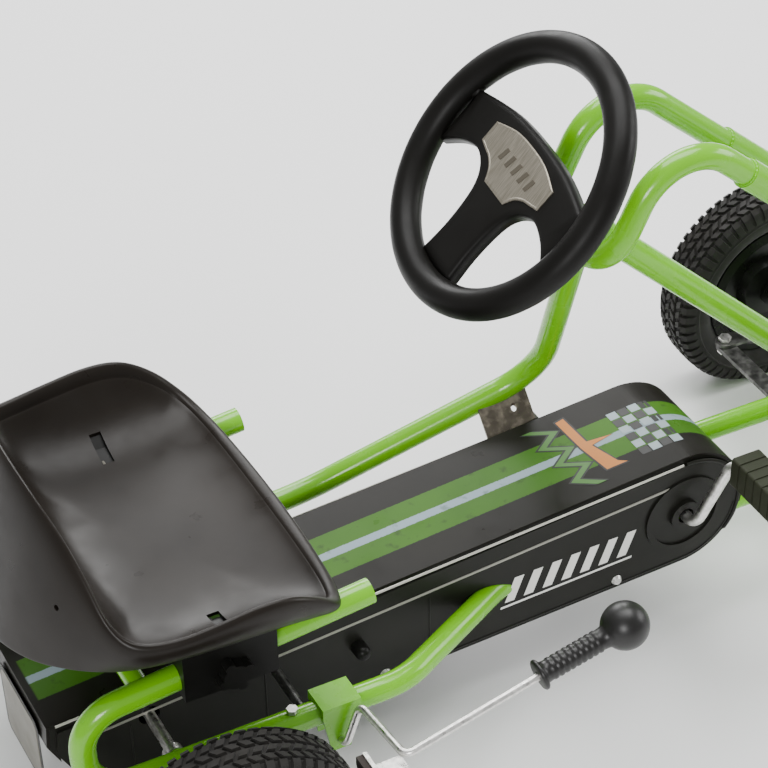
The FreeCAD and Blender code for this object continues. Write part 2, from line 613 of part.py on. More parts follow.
def wheel(prefix, x, y, bore):
    """Tyre, two rim halves and the hub bushes."""
    z = WHEEL_R
    half = TYRE_W / 2
    add(prefix + "_tyre", revolve_about_y(tyre_profile(y), x, z))
    rim = []
    for s in (1, -1):
        face = y + s * half
        outline = [(79.5, y + s * 0.2), (79.5, face - s * 14.7), (82.2, face - s * 10), (82.2, face - s * 7),
                   (72, face - s * 4), (69, face - s * 7), (66, face - s * 18), (40, face - s * 20),
                   (34, face - s * 10), (17, face - s * 6), (17, face - s * 1), (12, face - s * 1),
                   (12, y + s * 0.2), (16, y + s * 0.2), (16, face - s * 10), (32, face - s * 14),
                   (38, face - s * 24), (64, face - s * 22), (74, face - s * 14), (76.5, y + s * 0.2)]
        piece = revolve_about_y(outline, x, z)
        rim.append(piece)
    add(prefix + "_rim", *rim)
    add(prefix + "_hub",
        *[ring(V(x, y + s * 0.4, z), V(x, y + s * (half - 1), z), 12, bore) for s in (1, -1)])


def wheel_cap(name, x, y, side, axle_end):
    """A dome that covers the axle's end and clips into the hub."""
    face = y + side * (TYRE_W / 2 - 1)
    tip = side * axle_end
    outline = [(15.5, face), (15.5, face + side * 6), (12, tip + side * 3), (0, tip + side * 5),
               (0, tip + side * 2.5), (10, tip + side * 0.5), (10, face)]
    add(name, revolve_about_y(outline, x, WHEEL_R))


def make_wheels():
    rear_end = WHEEL_Y + 38
    for side, name in ((1, "left"), (-1, "right")):
        bore = AXLE_R if side < 0 else AXLE_R + FIT
        wheel("rear_" + name, 0, side * WHEEL_Y, bore)
        wheel_cap("rear_" + name + "_hub", 0, side * WHEEL_Y, side, rear_end)
        wheel("front_" + name, WHEELBASE, side * FRONT_WHEEL_Y, AXLE_R + FIT)
        wheel_cap("front_" + name + "_hub", WHEELBASE, side * FRONT_WHEEL_Y, side, FRONT_WHEEL_Y + 36)


# ---- steering -----------------------------------------------------------------------------------------
def make_knuckles():
    for side, name in ((1, "left"), (-1, "right")):
        y = side * KINGPIN_Y
        low, high = BEAM_Z[0] - 0.5, 149.5
        plate_t = 4.0
        outer = side * (KINGPIN_Y + 17)
        span = (min(y - side * 14, outer), max(y - side * 14, outer))
        bottom = box((BEAM_X - 15, span[0], low - plate_t), (BEAM_X + 15, span[1], low))
        top = box((BEAM_X - 15, span[0], high), (BEAM_X + 15, span[1], high + plate_t))
        wall_y = (min(outer, outer - side * plate_t), max(outer, outer - side * plate_t))
        wall = box((BEAM_X - 15, wall_y[0], low - plate_t), (BEAM_X + 15, wall_y[1], high + plate_t))
        pin_x = BEAM_X - STEER_ARM
        arm = box((pin_x, y - 11, low - plate_t), (BEAM_X - 10, y + 11, low))
        arm = arm.fuse(cylinder(V(pin_x, y, low - plate_t), V(pin_x, y, low), 11))
        stub = cylinder(V(BEAM_X, outer, WHEEL_R), V(BEAM_X, side * (FRONT_WHEEL_Y + 36), WHEEL_R), AXLE_R)
        shoulder = cylinder(V(BEAM_X, outer, WHEEL_R),
                            V(BEAM_X, side * (FRONT_WHEEL_Y - TYRE_W / 2 + 0.5), WHEEL_R), 9)
        knuckle = fuse([bottom, top, wall, arm, stub, shoulder])
        knuckle = knuckle.cut(cylinder(V(BEAM_X, y, 80), V(BEAM_X, y, 170), KINGPIN_R + FIT))
        clearance = 0.5 if side < 0 else FIT
        knuckle = knuckle.cut(cylinder(V(pin_x, y, 80), V(pin_x, y, 120), 4 + clearance))
        add("knuckle_" + name, knuckle)
        head_at, nut_at = V(BEAM_X, y, high + plate_t + 0.5), V(BEAM_X, y, low - plate_t - 0.5)
        add("kingpins", bolt(head_at, nut_at, KINGPIN_R, 16, 6, 7))


def make_track_rod():
    """A flat bar under the steering arms, pushed from side to side by the column's drop arm."""
    pin_x = BEAM_X - STEER_ARM
    top = BEAM_Z[0] - 0.5 - 4.0 - 0.5
    low = top - 5
    bar = box((pin_x - 10, -KINGPIN_Y, low), (pin_x + 10, KINGPIN_Y, top))
    for y in (-KINGPIN_Y, KINGPIN_Y):
        bar = bar.fuse(cylinder(V(pin_x, y, low), V(pin_x, y, top), 10))
    well = box((pin_x - 9, -9, low - 1), (pin_x + 9, 9, top + 1))
    bar = bar.cut(well)
    for side in (1, -1):
        inner, outer = side * 7.5, side * 10.0
        prong = box((pin_x - 10, min(inner, outer), low), (pin_x + 10, max(inner, outer), 113))
        bar = bar.fuse(prong)
    for s in (1, -1):
        bridge = box((min(pin_x + s * 15, pin_x + s * 19), -14, low),
                     (max(pin_x + s * 15, pin_x + s * 19), 14, top))
        arms = [box((min(pin_x + s * 8, pin_x + s * 19), min(t * 8, t * 14), low),
                    (max(pin_x + s * 8, pin_x + s * 19), max(t * 8, t * 14), top)) for t in (1, -1)]
        bar = fuse([bar, bridge] + arms)
    add("track_rod", bar)
    bolts = []
    for y in (-KINGPIN_Y, KINGPIN_Y):
        shank = cylinder(V(pin_x, y, low - 1), V(pin_x, y, top + 5.5), 4)
        head = hex_prism(V(pin_x, y, top + 5.0), V(pin_x, y, top + 10), 13)
        nut = hex_prism(V(pin_x, y, low - 6), V(pin_x, y, low), 13)
        bolts.append(fuse([shank, head, nut]))
    add("track_rod_bolts", *bolts)
    for b in bolts:
        cut_by("track_rod", b)


def make_steering():
    shaft_r = 6.0
    shaft = cylinder(on_column(0.5), on_column(DROP_ARM_AT + 6), shaft_r)
    arm = cylinder(on_column(DROP_ARM_AT), on_column(DROP_ARM_AT, DROP_ARM), 4.5)
    ball = Part.makeSphere(6.5, on_column(DROP_ARM_AT, DROP_ARM))
    collars = [cylinder(on_column(78), on_column(91.5), 13), cylinder(on_column(556.5), on_column(568), 13)]
    add("steering_shaft", fuse([shaft, arm, ball] + collars))
    for start, end in ((92.5, 112), (536, 555.5)):
        add("shaft_bushes", ring(on_column(start), on_column(end), 11, shaft_r + FIT))
    make_steering_wheel(shaft_r)


def steering_frame(shape):
    """Moves a shape drawn about the origin, face up and its top to +X, onto the column."""
    up = COLUMN_DOWN * -1
    face = COLUMN * -1
    left = face.cross(up)
    m = FreeCAD.Matrix(up.x, left.x, face.x, STEER_X, up.y, left.y, face.y, 0, up.z, left.z, face.z,
                       STEER_Z, 0, 0, 0, 1)
    moved = shape.copy()
    moved.rotate(V(0, 0, 0), Z_AXIS, -STEER_TWIST)
    moved.transformShape(m)
    return moved


def spline_edge(points):
    curve = Part.BSplineCurve()
    curve.interpolate([V(*p) for p in points])
    return curve.toShape()


def closed_face(outline):
    """A face from edges given as point lists: two points make a line, three an arc, more a smooth curve."""
    edges = []
    for points in outline:
        if len(points) == 2:
            edges.append(Part.LineSegment(V(*points[0]), V(*points[1])).toShape())
        elif len(points) == 3:
            edges.append(Part.Arc(*[V(*p) for p in points]).toShape())
        else:
            edges.append(spline_edge(points))
    return Part.Face(Part.Wire(edges))


def across(points, z):
    """Outline points on one side of the wheel, and the same reflected, in drawing order."""
    near = [(x, y, z) for x, y in points]
    far = [(x, -y, z) for x, y in reversed(points)]
    return near, far


def make_steering_wheel(shaft_r):
    rim = Part.makeTorus(STEER_R, RIM_R)
    notch = [(-34, 108), (-18, 86), (-10, 62), (-15, 45), (-27, 33), (-46, 27), (-78, 25), (-112, 28)]
    near, far = across(notch, -14)
    crown = ((27, 110, -14), (43, 0, -14), (27, -110, -14))
    outline = [(crown[0], near[0]), near, (near[-1], far[0]), far, (far[-1], crown[2]),
               tuple(reversed(crown))]
    body = closed_face(outline).extrude(V(0, 0, 14))
    body = fuse([body, Part.makeCylinder(40, 6, V(0, 0, -19))])
    body = body.cut(rim).common(Part.makeCylinder(STEER_R, 60, V(0, 0, -30)))
    boss = Part.makeCone(22, 14, 58, V(0, 0, -18), V(0, 0, -1))
    body = max(body.Solids, key=lambda s: s.Volume).fuse(boss)
    body = body.cut(Part.makeCylinder(shaft_r, 100, V(0, 0, -95)))
    near, far = across([(1, 58), (-7, 42), (-13, 31), (-20, 20)], 0)
    crown = ((22, 58, 0), (33, 0, 0), (22, -58, 0))
    outline = [(crown[0], near[0]), near, (near[-1], far[0]), far, (far[-1], crown[2]),
               tuple(reversed(crown))]
    badge = closed_face(outline).extrude(V(0, 0, 2.5))
    add("steering_wheel_rim", steering_frame(rim))
    add("steering_wheel_spokes", steering_frame(body))
    add("steering_badge_plate", steering_frame(badge))


# ---- seat ---------------------------------------------------------------------------------------------
def seat_loop(fraction, outward, lift, lower=0.0):
    """A closed loop round the bucket: fraction of the way from its rim to the middle of its floor."""
    points = []
    for (rx, ry, rz), (hx, hy, hz) in zip(SEAT_RIM, SEAT_HEM):
        away = V(rx - SEAT_MIDDLE, ry, 0).normalize()
        upper = V(rx + (SEAT_MIDDLE - rx) * fraction, ry * (1 - fraction),
                  SEAT_FLOOR_Z + (rz - SEAT_FLOOR_Z) * lift)
        points.append(upper + (V(hx, hy, hz) - upper) * lower + away * outward)
    other = [V(p.x, -p.y, p.z) for p in points[-2:0:-1]]
    curve = Part.BSplineCurve()
    curve.interpolate(Points=points + other, PeriodicFlag=True)
    return Part.Wire([curve.toShape()])


def seat_bucket():
    """The moulding as one skin: over the floor and rim, down the outer wall, and back up inside it."""
    loops = [seat_loop(fraction, 0.0, lift) for fraction, lift in SEAT_SLOPE]
    loops += [seat_loop(0.0, 3.0, 1.0), seat_loop(0.0, 8.0, 1.0, 0.16), seat_loop(0.0, 7.0, 1.0, 0.55)]
    loops += [seat_loop(0.0, 0.0, 1.0, 1.0), seat_loop(0.0, -SEAT_T, 1.0, 0.98)]
    loops += [seat_loop(0.0, 3.5, 1.0, 0.56), seat_loop(0.0, 3.0, 1.0, 0.2)]
    for fraction, lift in reversed(SEAT_SLOPE):
        steep = max(0.0, 1.0 - fraction / 0.3)
        loop = seat_loop(fraction, SEAT_T * steep, lift)
        loop.translate(V(0, 0, -SEAT_T * (1.0 - steep)))
        loops.append(loop)
    return Part.makeLoft(loops, True, True)


def make_seat():
    shell = seat_bucket()
    make_seat_mounts(shell)
    for side in (1, -1):
        shell = shell.cut(box((38, side * 138 - 7, 200), (68, side * 138 + 7, 380)))
    add("seat_shell", shell)


def rail_z(x):
    return RAIL_FRONT[2] + (x - RAIL_FRONT[0]) * RAIL_SLOPE


def make_seat_mounts(shell):
    """Plastic saddles that clasp the rails, each locked by a knob."""
    along = V(1, 0, RAIL_SLOPE).normalize()
    for side, name in ((1, "left"), (-1, "right")):
        y = side * RAIL_Y
        block = box((4, y - 19, 222), (96, y + 19, 345)).cut(shell)
        block = min(block.Solids, key=lambda s: s.CenterOfMass.z)
        mid = V(50, y, rail_z(50))
        block = block.cut(cylinder(mid - along * 300, mid + along * 300, TUBE_R + 0.3))
        throat = box((-20, y - 6, 200), (120, y + 6, rail_z(50) - 4))
        block = block.cut(throat)
        knob_y = y + side * 19.4
        screw = cylinder(V(50, y + side * 13.2, mid.z), V(50, knob_y + side * 4, mid.z), 3)
        head = Part.makeCylinder(13, 12, V(50, knob_y, mid.z), Y_AXIS * side)
        turns = (0.4, 1.97, 3.54, 5.11)
        lobes = [Part.makeCylinder(5, 12, V(50 + 13 * math.cos(a), knob_y, mid.z + 13 * math.sin(a)),
                                   Y_AXIS * side)
                 for a in turns]
        add("seat_knob_" + name, fuse([head, screw] + lobes))
        block = block.cut(cylinder(V(50, y + side * 8, mid.z), V(50, knob_y + side, mid.z), 3 + FIT))
        add("seat_saddles", block)


# ---- hand brake ---------------------------------------------------------------------------------------
def make_brake():
    ears = []
    for y in (-LOWER_Y + 15.0, -LOWER_Y - 15.0):
        corners = [(BRAKE_X - 18, y - 1.5, LOWER_Z + 4), (BRAKE_X + 22, y - 1.5, LOWER_Z + 4),
                   (BRAKE_X + 10, y - 1.5, BRAKE_Z - 12), (BRAKE_X - 10, y - 1.5, BRAKE_Z - 12)]
        ears.append(plate(corners, (0, 3, 0)))
    saddle = box((BRAKE_X - 18, -LOWER_Y - 16.5, LOWER_Z + 4), (BRAKE_X + 22, -LOWER_Y + 16.5, LOWER_Z + 16))
    bracket = fuse(ears + [saddle]).cut(bent_bar(right_main_points(), [42, 46, 90, 90], TUBE_R))
    bracket = bracket.cut(cylinder(V(BRAKE_X, 0, BRAKE_Z), V(BRAKE_X, -300, BRAKE_Z), 4 + FIT))
    hollow = box((BRAKE_X - 30, -LOWER_Y - 13.5, BRAKE_Z - 30), (BRAKE_X + 40, -LOWER_Y + 13.5, LOWER_Z + 4))
    add("brake_bracket", bracket.cut(hollow))
    grip_start = V(318, -LEVER_Y, 186)
    ball = V(411, -LEVER_Y, 209)
    along = (ball - grip_start).normalize()
    rod_end = ball - along * 10
    points = [(BRAKE_X, -LOWER_Y + 22, BRAKE_Z), (BRAKE_X, -LOWER_Y - 26, BRAKE_Z),
              (171, -LOWER_Y - 26, 150),
              (179, -LEVER_Y, 148), tuple(rod_end)]
    rod = bent_bar(points, [9, 9, 9], 4)
    add("brake_lever_rod", rod)
    add("brake_lever_rod",
        ring(V(BRAKE_X, -LOWER_Y + 16.8, BRAKE_Z), V(BRAKE_X, -LOWER_Y + 21, BRAKE_Z), 8, 4))
    sleeve = fuse([cylinder(grip_start, ball, 11.5), cylinder(grip_start, grip_start + along * 5, 16)])
    knob = Part.makeSphere(24, ball)
    add("brake_grip", sleeve.fuse(knob).cut(rod))
    shoe_y = (-LEVER_Y - 16, -LEVER_Y + 8)
    stay = box((143, shoe_y[0] + 4, 143), (176, shoe_y[1] - 4, 147))
    face = box((139, shoe_y[0], 132), (143, shoe_y[1], 164))
    add("brake_lever_rod", fuse([stay, face]).cut(rod))
    pad = box((132.5, shoe_y[0], 134), (139, shoe_y[1], 162))
    add("brake_pad", pad.cut(cylinder(V(0, -400, WHEEL_R), V(0, 0, WHEEL_R), WHEEL_R + 8.5)))


def main():
    make_frame()
    make_case()
    make_case_hardware()
    make_drive()
    make_crank()
    make_rear_axle()
    make_wheels()
    make_knuckles()
    make_track_rod()
    make_steering()
    make_seat()
    make_brake()
    for name, solids in NODES.items():
        shape = solids[0] if len(solids) == 1 else Part.makeCompound(solids)
        shape = shape.copy()
        shape.translate(V(-MID_X, 0, 0))
        shape.exportStep(os.path.join(OUT, name + ".step"))


main()
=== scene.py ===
import json
import math

import bmesh
import bpy
from mathutils import Matrix, Vector
from mathutils.bvhtree import BVHTree
from mathutils.geometry import delaunay_2d_cdt


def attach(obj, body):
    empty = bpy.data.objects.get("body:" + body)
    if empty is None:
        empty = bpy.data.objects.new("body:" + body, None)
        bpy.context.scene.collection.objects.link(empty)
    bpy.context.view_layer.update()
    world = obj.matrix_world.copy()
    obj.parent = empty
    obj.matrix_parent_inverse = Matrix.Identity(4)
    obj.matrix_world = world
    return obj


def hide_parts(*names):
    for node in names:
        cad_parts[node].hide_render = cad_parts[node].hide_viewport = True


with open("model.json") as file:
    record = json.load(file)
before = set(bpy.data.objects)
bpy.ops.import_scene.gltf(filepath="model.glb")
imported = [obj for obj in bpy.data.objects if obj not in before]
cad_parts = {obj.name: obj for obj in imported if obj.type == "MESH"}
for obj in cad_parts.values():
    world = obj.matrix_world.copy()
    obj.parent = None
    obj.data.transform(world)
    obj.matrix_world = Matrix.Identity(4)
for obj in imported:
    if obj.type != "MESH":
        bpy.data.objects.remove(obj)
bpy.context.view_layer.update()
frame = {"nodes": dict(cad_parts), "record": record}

NODES = frame["nodes"]
MID_X = 0.4665                 # metres; the rear axle is this far behind the frame's origin
WHEEL_R = 0.1265
REAR_Y = 0.264                 # half the distance between the rear wheels' middles
FRONT_Y = 0.256
WHEELBASE = 0.915
CASE_SIDE = 70.6               # mm; where the trim starts, 0.1 outside the case's flat side
NOSE_X, NOSE_Z = 599, 137.5    # mm; the middle of the case's rounded nose
REAR_FACE_X = -103.2           # mm; the case's rear face
PRINT_T = 0.00025              # thickness of the printing on the case's sides
STEER_TILT = math.radians(42.3)
STEER_TWIST = math.radians(-6.0)
STEER_MIDDLE = Vector((0.420 - MID_X, 0.0, 0.558))
STEER_R = 0.125
RIM_R = 0.0155
FULL = 2 * math.pi


def at(x, y, z):
    """A point given in millimetres from the rear axle's middle plane and the ground."""
    return Vector((x / 1000 - MID_X, y / 1000, z / 1000))


# ---- camera, floor and light ----------------------------------------------------------------------
def make_camera():
    azimuth, down, roll = math.radians(61.304), math.radians(41.71), math.radians(0.3555)
    look = Vector((math.cos(down) * math.cos(azimuth), math.cos(down) * math.sin(azimuth), -math.sin(down)))
    side = Vector((math.sin(azimuth), -math.cos(azimuth), 0.0))
    top = side.cross(look)
    right = side * math.cos(roll) + top * math.sin(roll)
    up = top * math.cos(roll) - side * math.sin(roll)
    data = bpy.data.cameras.new("camera")
    data.sensor_width = 36.0
    data.lens = 110.22
    data.shift_x = -0.0833
    data.shift_y = 0.2427
    camera = bpy.data.objects.new("camera", data)
    bpy.context.scene.collection.objects.link(camera)
    turn = Matrix((right, up, -look)).transposed().to_4x4()
    camera.matrix_world = Matrix.Translation((-0.97226, -1.57984, 1.70855)) @ turn
    bpy.context.scene.camera = camera


def area_light(name, place, aim, size, power):
    data = bpy.data.lights.new(name, "AREA")
    data.shape = "RECTANGLE"
    data.size, data.size_y = size
    data.energy = power
    lamp = bpy.data.objects.new(name, data)
    bpy.context.scene.collection.objects.link(lamp)
    lamp.location = place
    lamp.rotation_euler = (Vector(aim) - Vector(place)).to_track_quat("-Z", "Y").to_euler()


def make_studio():
    """A plain pale floor and a soft tent of light, brighter from above and the far side."""
    mesh = bpy.data.meshes.new("floor")
    half = 30.0
    corners = [(-half, -half, 0), (half, -half, 0), (half, half, 0), (-half, half, 0)]
    mesh.from_pydata(corners, [], [(0, 1, 2, 3)])
    floor = bpy.data.objects.new("floor", mesh)
    bpy.context.scene.collection.objects.link(floor)
    mat = bpy.data.materials.new("floor_paper")
    mat.use_nodes = True
    shader = mat.node_tree.nodes["Principled BSDF"]
    shader.inputs["Base Color"].default_value = (0.93, 0.93, 0.93, 1)
    shader.inputs["Roughness"].default_value = 0.9
    mesh.materials.append(mat)
    world = bpy.data.worlds.new("studio")
    world.use_nodes = True
    world.node_tree.nodes["Background"].inputs["Color"].default_value = (1, 1, 1, 1)
    world.node_tree.nodes["Background"].inputs["Strength"].default_value = 0.50
    bpy.context.scene.world = world
    area_light("overhead", (0.3, 0.5, 3.0), (0.0, 0.0, 0.3), (2.6, 1.6), 105)
    area_light("far_side", (0.8, 3.0, 1.9), (0.0, 0.0, 0.3), (2.4, 1.4), 95)
    area_light("near_side", (-2.0, -2.6, 1.8), (0.0, 0.0, 0.3), (1.0, 1.0), 58)
    area_light("front_side", (3.0, -0.6, 1.6), (0.2, 0.0, 0.3), (1.8, 1.2), 44)


# ---- materials ------------------------------------------------------------------------------------
class Finish:
    """A procedural material: a Principled shader with its pattern nodes in the object's own metres."""

    def __init__(self, name, rough=0.5, metal=0.0, coat=0.0, specular=0.5, sheen=0.0):
        self.mat = bpy.data.materials.new(name)
        self.mat.use_nodes = True
        self.tree = self.mat.node_tree
        self.shader = self.tree.nodes["Principled BSDF"]
        for socket, value in (("Roughness", rough), ("Metallic", metal), ("Coat Weight", coat),
                              ("Specular IOR Level", specular), ("Sheen Weight", sheen),
                              ("Coat Roughness", 0.06)):
            self.shader.inputs[socket].default_value = value
        self.where = self.node("ShaderNodeTexCoord").outputs["Object"]

    def node(self, kind, **settings):
        made = self.tree.nodes.new(kind)
        for key, value in settings.items():
            setattr(made, key, value)
        return made

    def link(self, source, target):
        self.tree.links.new(source, target)

    def noise(self, scale, detail=3.0, stretch=(1, 1, 1), distortion=0.0):
        """A noise value; scale is in features per metre."""
        source = self.where
        if stretch != (1, 1, 1):
            mapping = self.node("ShaderNodeMapping")
            mapping.inputs["Scale"].default_value = stretch
            self.link(source, mapping.inputs["Vector"])
            source = mapping.outputs["Vector"]
        made = self.node("ShaderNodeTexNoise")
        self.link(source, made.inputs["Vector"])
        for socket, value in (("Scale", scale), ("Detail", detail), ("Distortion", distortion)):
            made.inputs[socket].default_value = value
        return made.outputs["Fac"]

    def span(self, value, low, high, to_low, to_high):
        """The value's range low to high, carried to another range and held there."""
        made = self.node("ShaderNodeMapRange")
        for socket, number in (("From Min", low), ("From Max", high), ("To Min", to_low),
                               ("To Max", to_high)):
            made.inputs[socket].default_value = number
        self.link(value, made.inputs["Value"])
        return made.outputs["Result"]

    def sum(self, operation, first, second):
        made = self.node("ShaderNodeMath", operation=operation)
        for i, value in enumerate((first, second)):
            if isinstance(value, (int, float)):
                made.inputs[i].default_value = value
            else:
                self.link(value, made.inputs[i])
        return made.outputs["Value"]

    def axis(self, which):
        split = self.node("ShaderNodeSeparateXYZ")
        self.link(self.where, split.inputs["Vector"])
        return split.outputs[which]

    def mix(self, factor, first, second):
        """A colour between two; each is a colour or another node's output."""
        made = self.node("ShaderNodeMix", data_type="RGBA")
        self.link(factor, made.inputs["Factor"])
        for socket, value in (("A", first), ("B", second)):
            target = [i for i in made.inputs if i.name == socket and i.type == "RGBA"][0]
            if isinstance(value, tuple):
                target.default_value = value + (1.0,)
            else:
                self.link(value, target)
        return [o for o in made.outputs if o.type == "RGBA"][0]

    def colour(self, output):
        self.link(output, self.shader.inputs["Base Color"])

    def roughness(self, output):
        self.link(output, self.shader.inputs["Roughness"])

    def bump(self, height, distance, strength=0.5):
        made = self.node("ShaderNodeBump")
        made.inputs["Distance"].default_value = distance
        made.inputs["Strength"].default_value = strength
        self.link(height, made.inputs["Height"])
        if self.shader.inputs["Normal"].links:
            self.link(self.shader.inputs["Normal"].links[0].from_socket, made.inputs["Normal"])
        self.link(made.outputs["Normal"], self.shader.inputs["Normal"])


def tone(red, green, blue):
    """A display colour out of 255, as the linear values that a shader takes."""
    return tuple(((c / 255 + 0.055) / 1.055) ** 2.4 if c > 10 else c / 255 / 12.92
                 for c in (red, green, blue))


def shade(colour, factor):
    return tuple(min(1.0, c * factor) for c in colour)


def plain(name, colour, rough, spread=0.12, grain=900.0, depth=0.00004, cloud=9.0, rough_spread=0.08,
          **more):
    """Colour clouds, uneven gloss and a fine moulded or cast grain."""
    made = Finish(name, rough=rough, **more)
    clouds = made.noise(cloud, 4.0)
    share = made.span(clouds, 0.3, 0.7, 0, 1)
    made.colour(made.mix(share, shade(colour, 1 - spread), shade(colour, 1 + spread)))
    gloss = made.noise(cloud * 3.7, 5.0)
    made.roughness(made.span(gloss, 0.3, 0.7, rough - rough_spread, rough + rough_spread))
    made.bump(made.noise(grain, 2.0), depth, 0.6)
    return made


def enamel():
    """Gloss powder coat: a little orange peel, thin dust and the odd scuff."""
    lime = tone(112, 190, 2)
    made = Finish("lime_enamel", rough=0.24, coat=0.35, specular=0.42)
    clouds = made.span(made.noise(6.0, 3.0), 0.35, 0.65, 0, 1)
    base = made.mix(clouds, shade(lime, 0.93), shade(lime, 1.06))
    scuffs = made.span(made.noise(210.0, 6.0, (1.0, 0.35, 0.35), 0.6), 0.70, 0.76, 0, 1)
    made.colour(made.mix(scuffs, base, shade(lime, 0.72)))
    made.roughness(made.span(made.noise(40.0, 5.0), 0.3, 0.7, 0.18, 0.32))
    made.bump(made.noise(330.0, 2.0), 0.00006, 0.55)
    return made


def moulded(name, colour, rough, grain=1500.0, depth=0.00005):
    """Moulded polypropylene: cloudy, with a fine leathery grain and faint flow marks and scratches."""
    made = Finish(name, rough=rough, specular=0.17)
    clouds = made.span(made.noise(11.0, 5.0), 0.32, 0.68, 0, 1)
    base = made.mix(clouds, shade(colour, 0.84), shade(colour, 1.14))
    scratch = made.span(made.noise(26.0, 8.0, (1.0, 14.0, 5.0), 1.2), 0.66, 0.72, 0, 0.35)
    made.colour(made.mix(scratch, base, shade(colour, 1.9)))
    made.roughness(made.span(made.noise(30.0, 6.0), 0.3, 0.7, rough - 0.07, rough + 0.09))
    made.bump(made.noise(grain, 3.0), depth, 0.5)
    made.bump(made.noise(120.0, 3.0), 0.00010, 0.25)
    return made


def rubber(name, colour, rough=0.72):
    """Tyre rubber with a dusty bloom and fine pitting."""
    made = Finish(name, rough=rough, specular=0.35, sheen=0.06)
    dust = made.span(made.noise(24.0, 6.0), 0.40, 0.72, 0, 1)
    made.colour(made.mix(dust, shade(colour, 0.8), shade(colour, 1.7)))
    made.roughness(made.span(made.noise(70.0, 5.0), 0.3, 0.7, rough - 0.10, rough + 0.10))
    made.bump(made.noise(1300.0, 4.0), 0.00012, 0.6)
    return made


def zinc(name, colour, rough=0.34):
    """Bright zinc plate with its mottled spangle and drawn-wire streaks."""
    made = Finish(name, rough=rough, metal=1.0)
    mottle = made.span(made.noise(240.0, 4.0), 0.35, 0.65, 0, 1)
    made.colour(made.mix(mottle, shade(colour, 0.82), shade(colour, 1.06)))
    made.roughness(made.span(made.noise(160.0, 5.0), 0.3, 0.7, rough - 0.10, rough + 0.12))
    made.bump(made.noise(900.0, 3.0, (0.15, 1.0, 1.0)), 0.00004, 0.5)
    return made


def oiled_steel(name, colour, rough=0.42):
    """Dark steel with oil in its hollows and brighter rubbed places."""
    made = Finish(name, rough=rough, metal=0.9)
    rubbed = made.span(made.noise(95.0, 7.0), 0.45, 0.66, 0, 1)
    made.colour(made.mix(rubbed, shade(colour, 0.7), shade(colour, 1.6)))
    made.roughness(made.span(made.noise(120.0, 5.0), 0.3, 0.7, rough - 0.12, rough + 0.14))
    made.bump(made.noise(700.0, 4.0), 0.00008, 0.5)
    return made


def brushed_badge():
    """Brushed grey metal with the brushing across the wheel."""
    made = Finish("brushed_badge", rough=0.42, metal=0.85)
    lines = made.noise(60.0, 6.0, (1.0, 30.0, 1.0))
    made.colour(made.mix(made.span(lines, 0.3, 0.7, 0, 1), tone(128, 122, 108), tone(176, 170, 156)))
    made.roughness(made.span(lines, 0.3, 0.7, 0.34, 0.52))
    made.bump(lines, 0.00005, 0.5)
    return made


def striped_cover():
    """The chain case's top: dark plastic with painted stripes along it."""
    dark = tone(26, 24, 19)
    made = Finish("striped_cover", rough=0.38, specular=0.16)
    clouds = made.span(made.noise(13.0, 5.0), 0.32, 0.68, 0, 1)
    base = made.mix(clouds, shade(dark, 0.82), shade(dark, 1.18))
    ragged = made.span(made.noise(500.0, 4.0), 0.3, 0.7, -0.0004, 0.0004)
    off = made.sum("ADD", made.sum("ABSOLUTE", made.axis("Y"), 0.0), ragged)
    worn = made.span(made.noise(75.0, 7.0), 0.60, 0.72, 1.0, 0.55)
    on_top = made.span(made.axis("X"), -0.560, -0.558, 0, 1)
    worn = made.sum("MULTIPLY", worn, on_top)
    green = made.sum("MULTIPLY", made.span(off, 0.0300, 0.0294, 0, 1), worn)
    base = made.mix(green, base, made.mix(clouds, tone(58, 104, 18), tone(66, 114, 22)))
    middle = made.sum("MULTIPLY", made.span(off, 0.0054, 0.0049, 0, 1), worn)
    made.colour(made.mix(middle, base, tone(150, 168, 178)))
    made.roughness(made.span(made.noise(34.0, 6.0), 0.3, 0.7, 0.27, 0.46))
    made.bump(made.noise(1500.0, 3.0), 0.00004, 0.5)
    made.bump(made.noise(90.0, 3.0), 0.00012, 0.25)
    return made


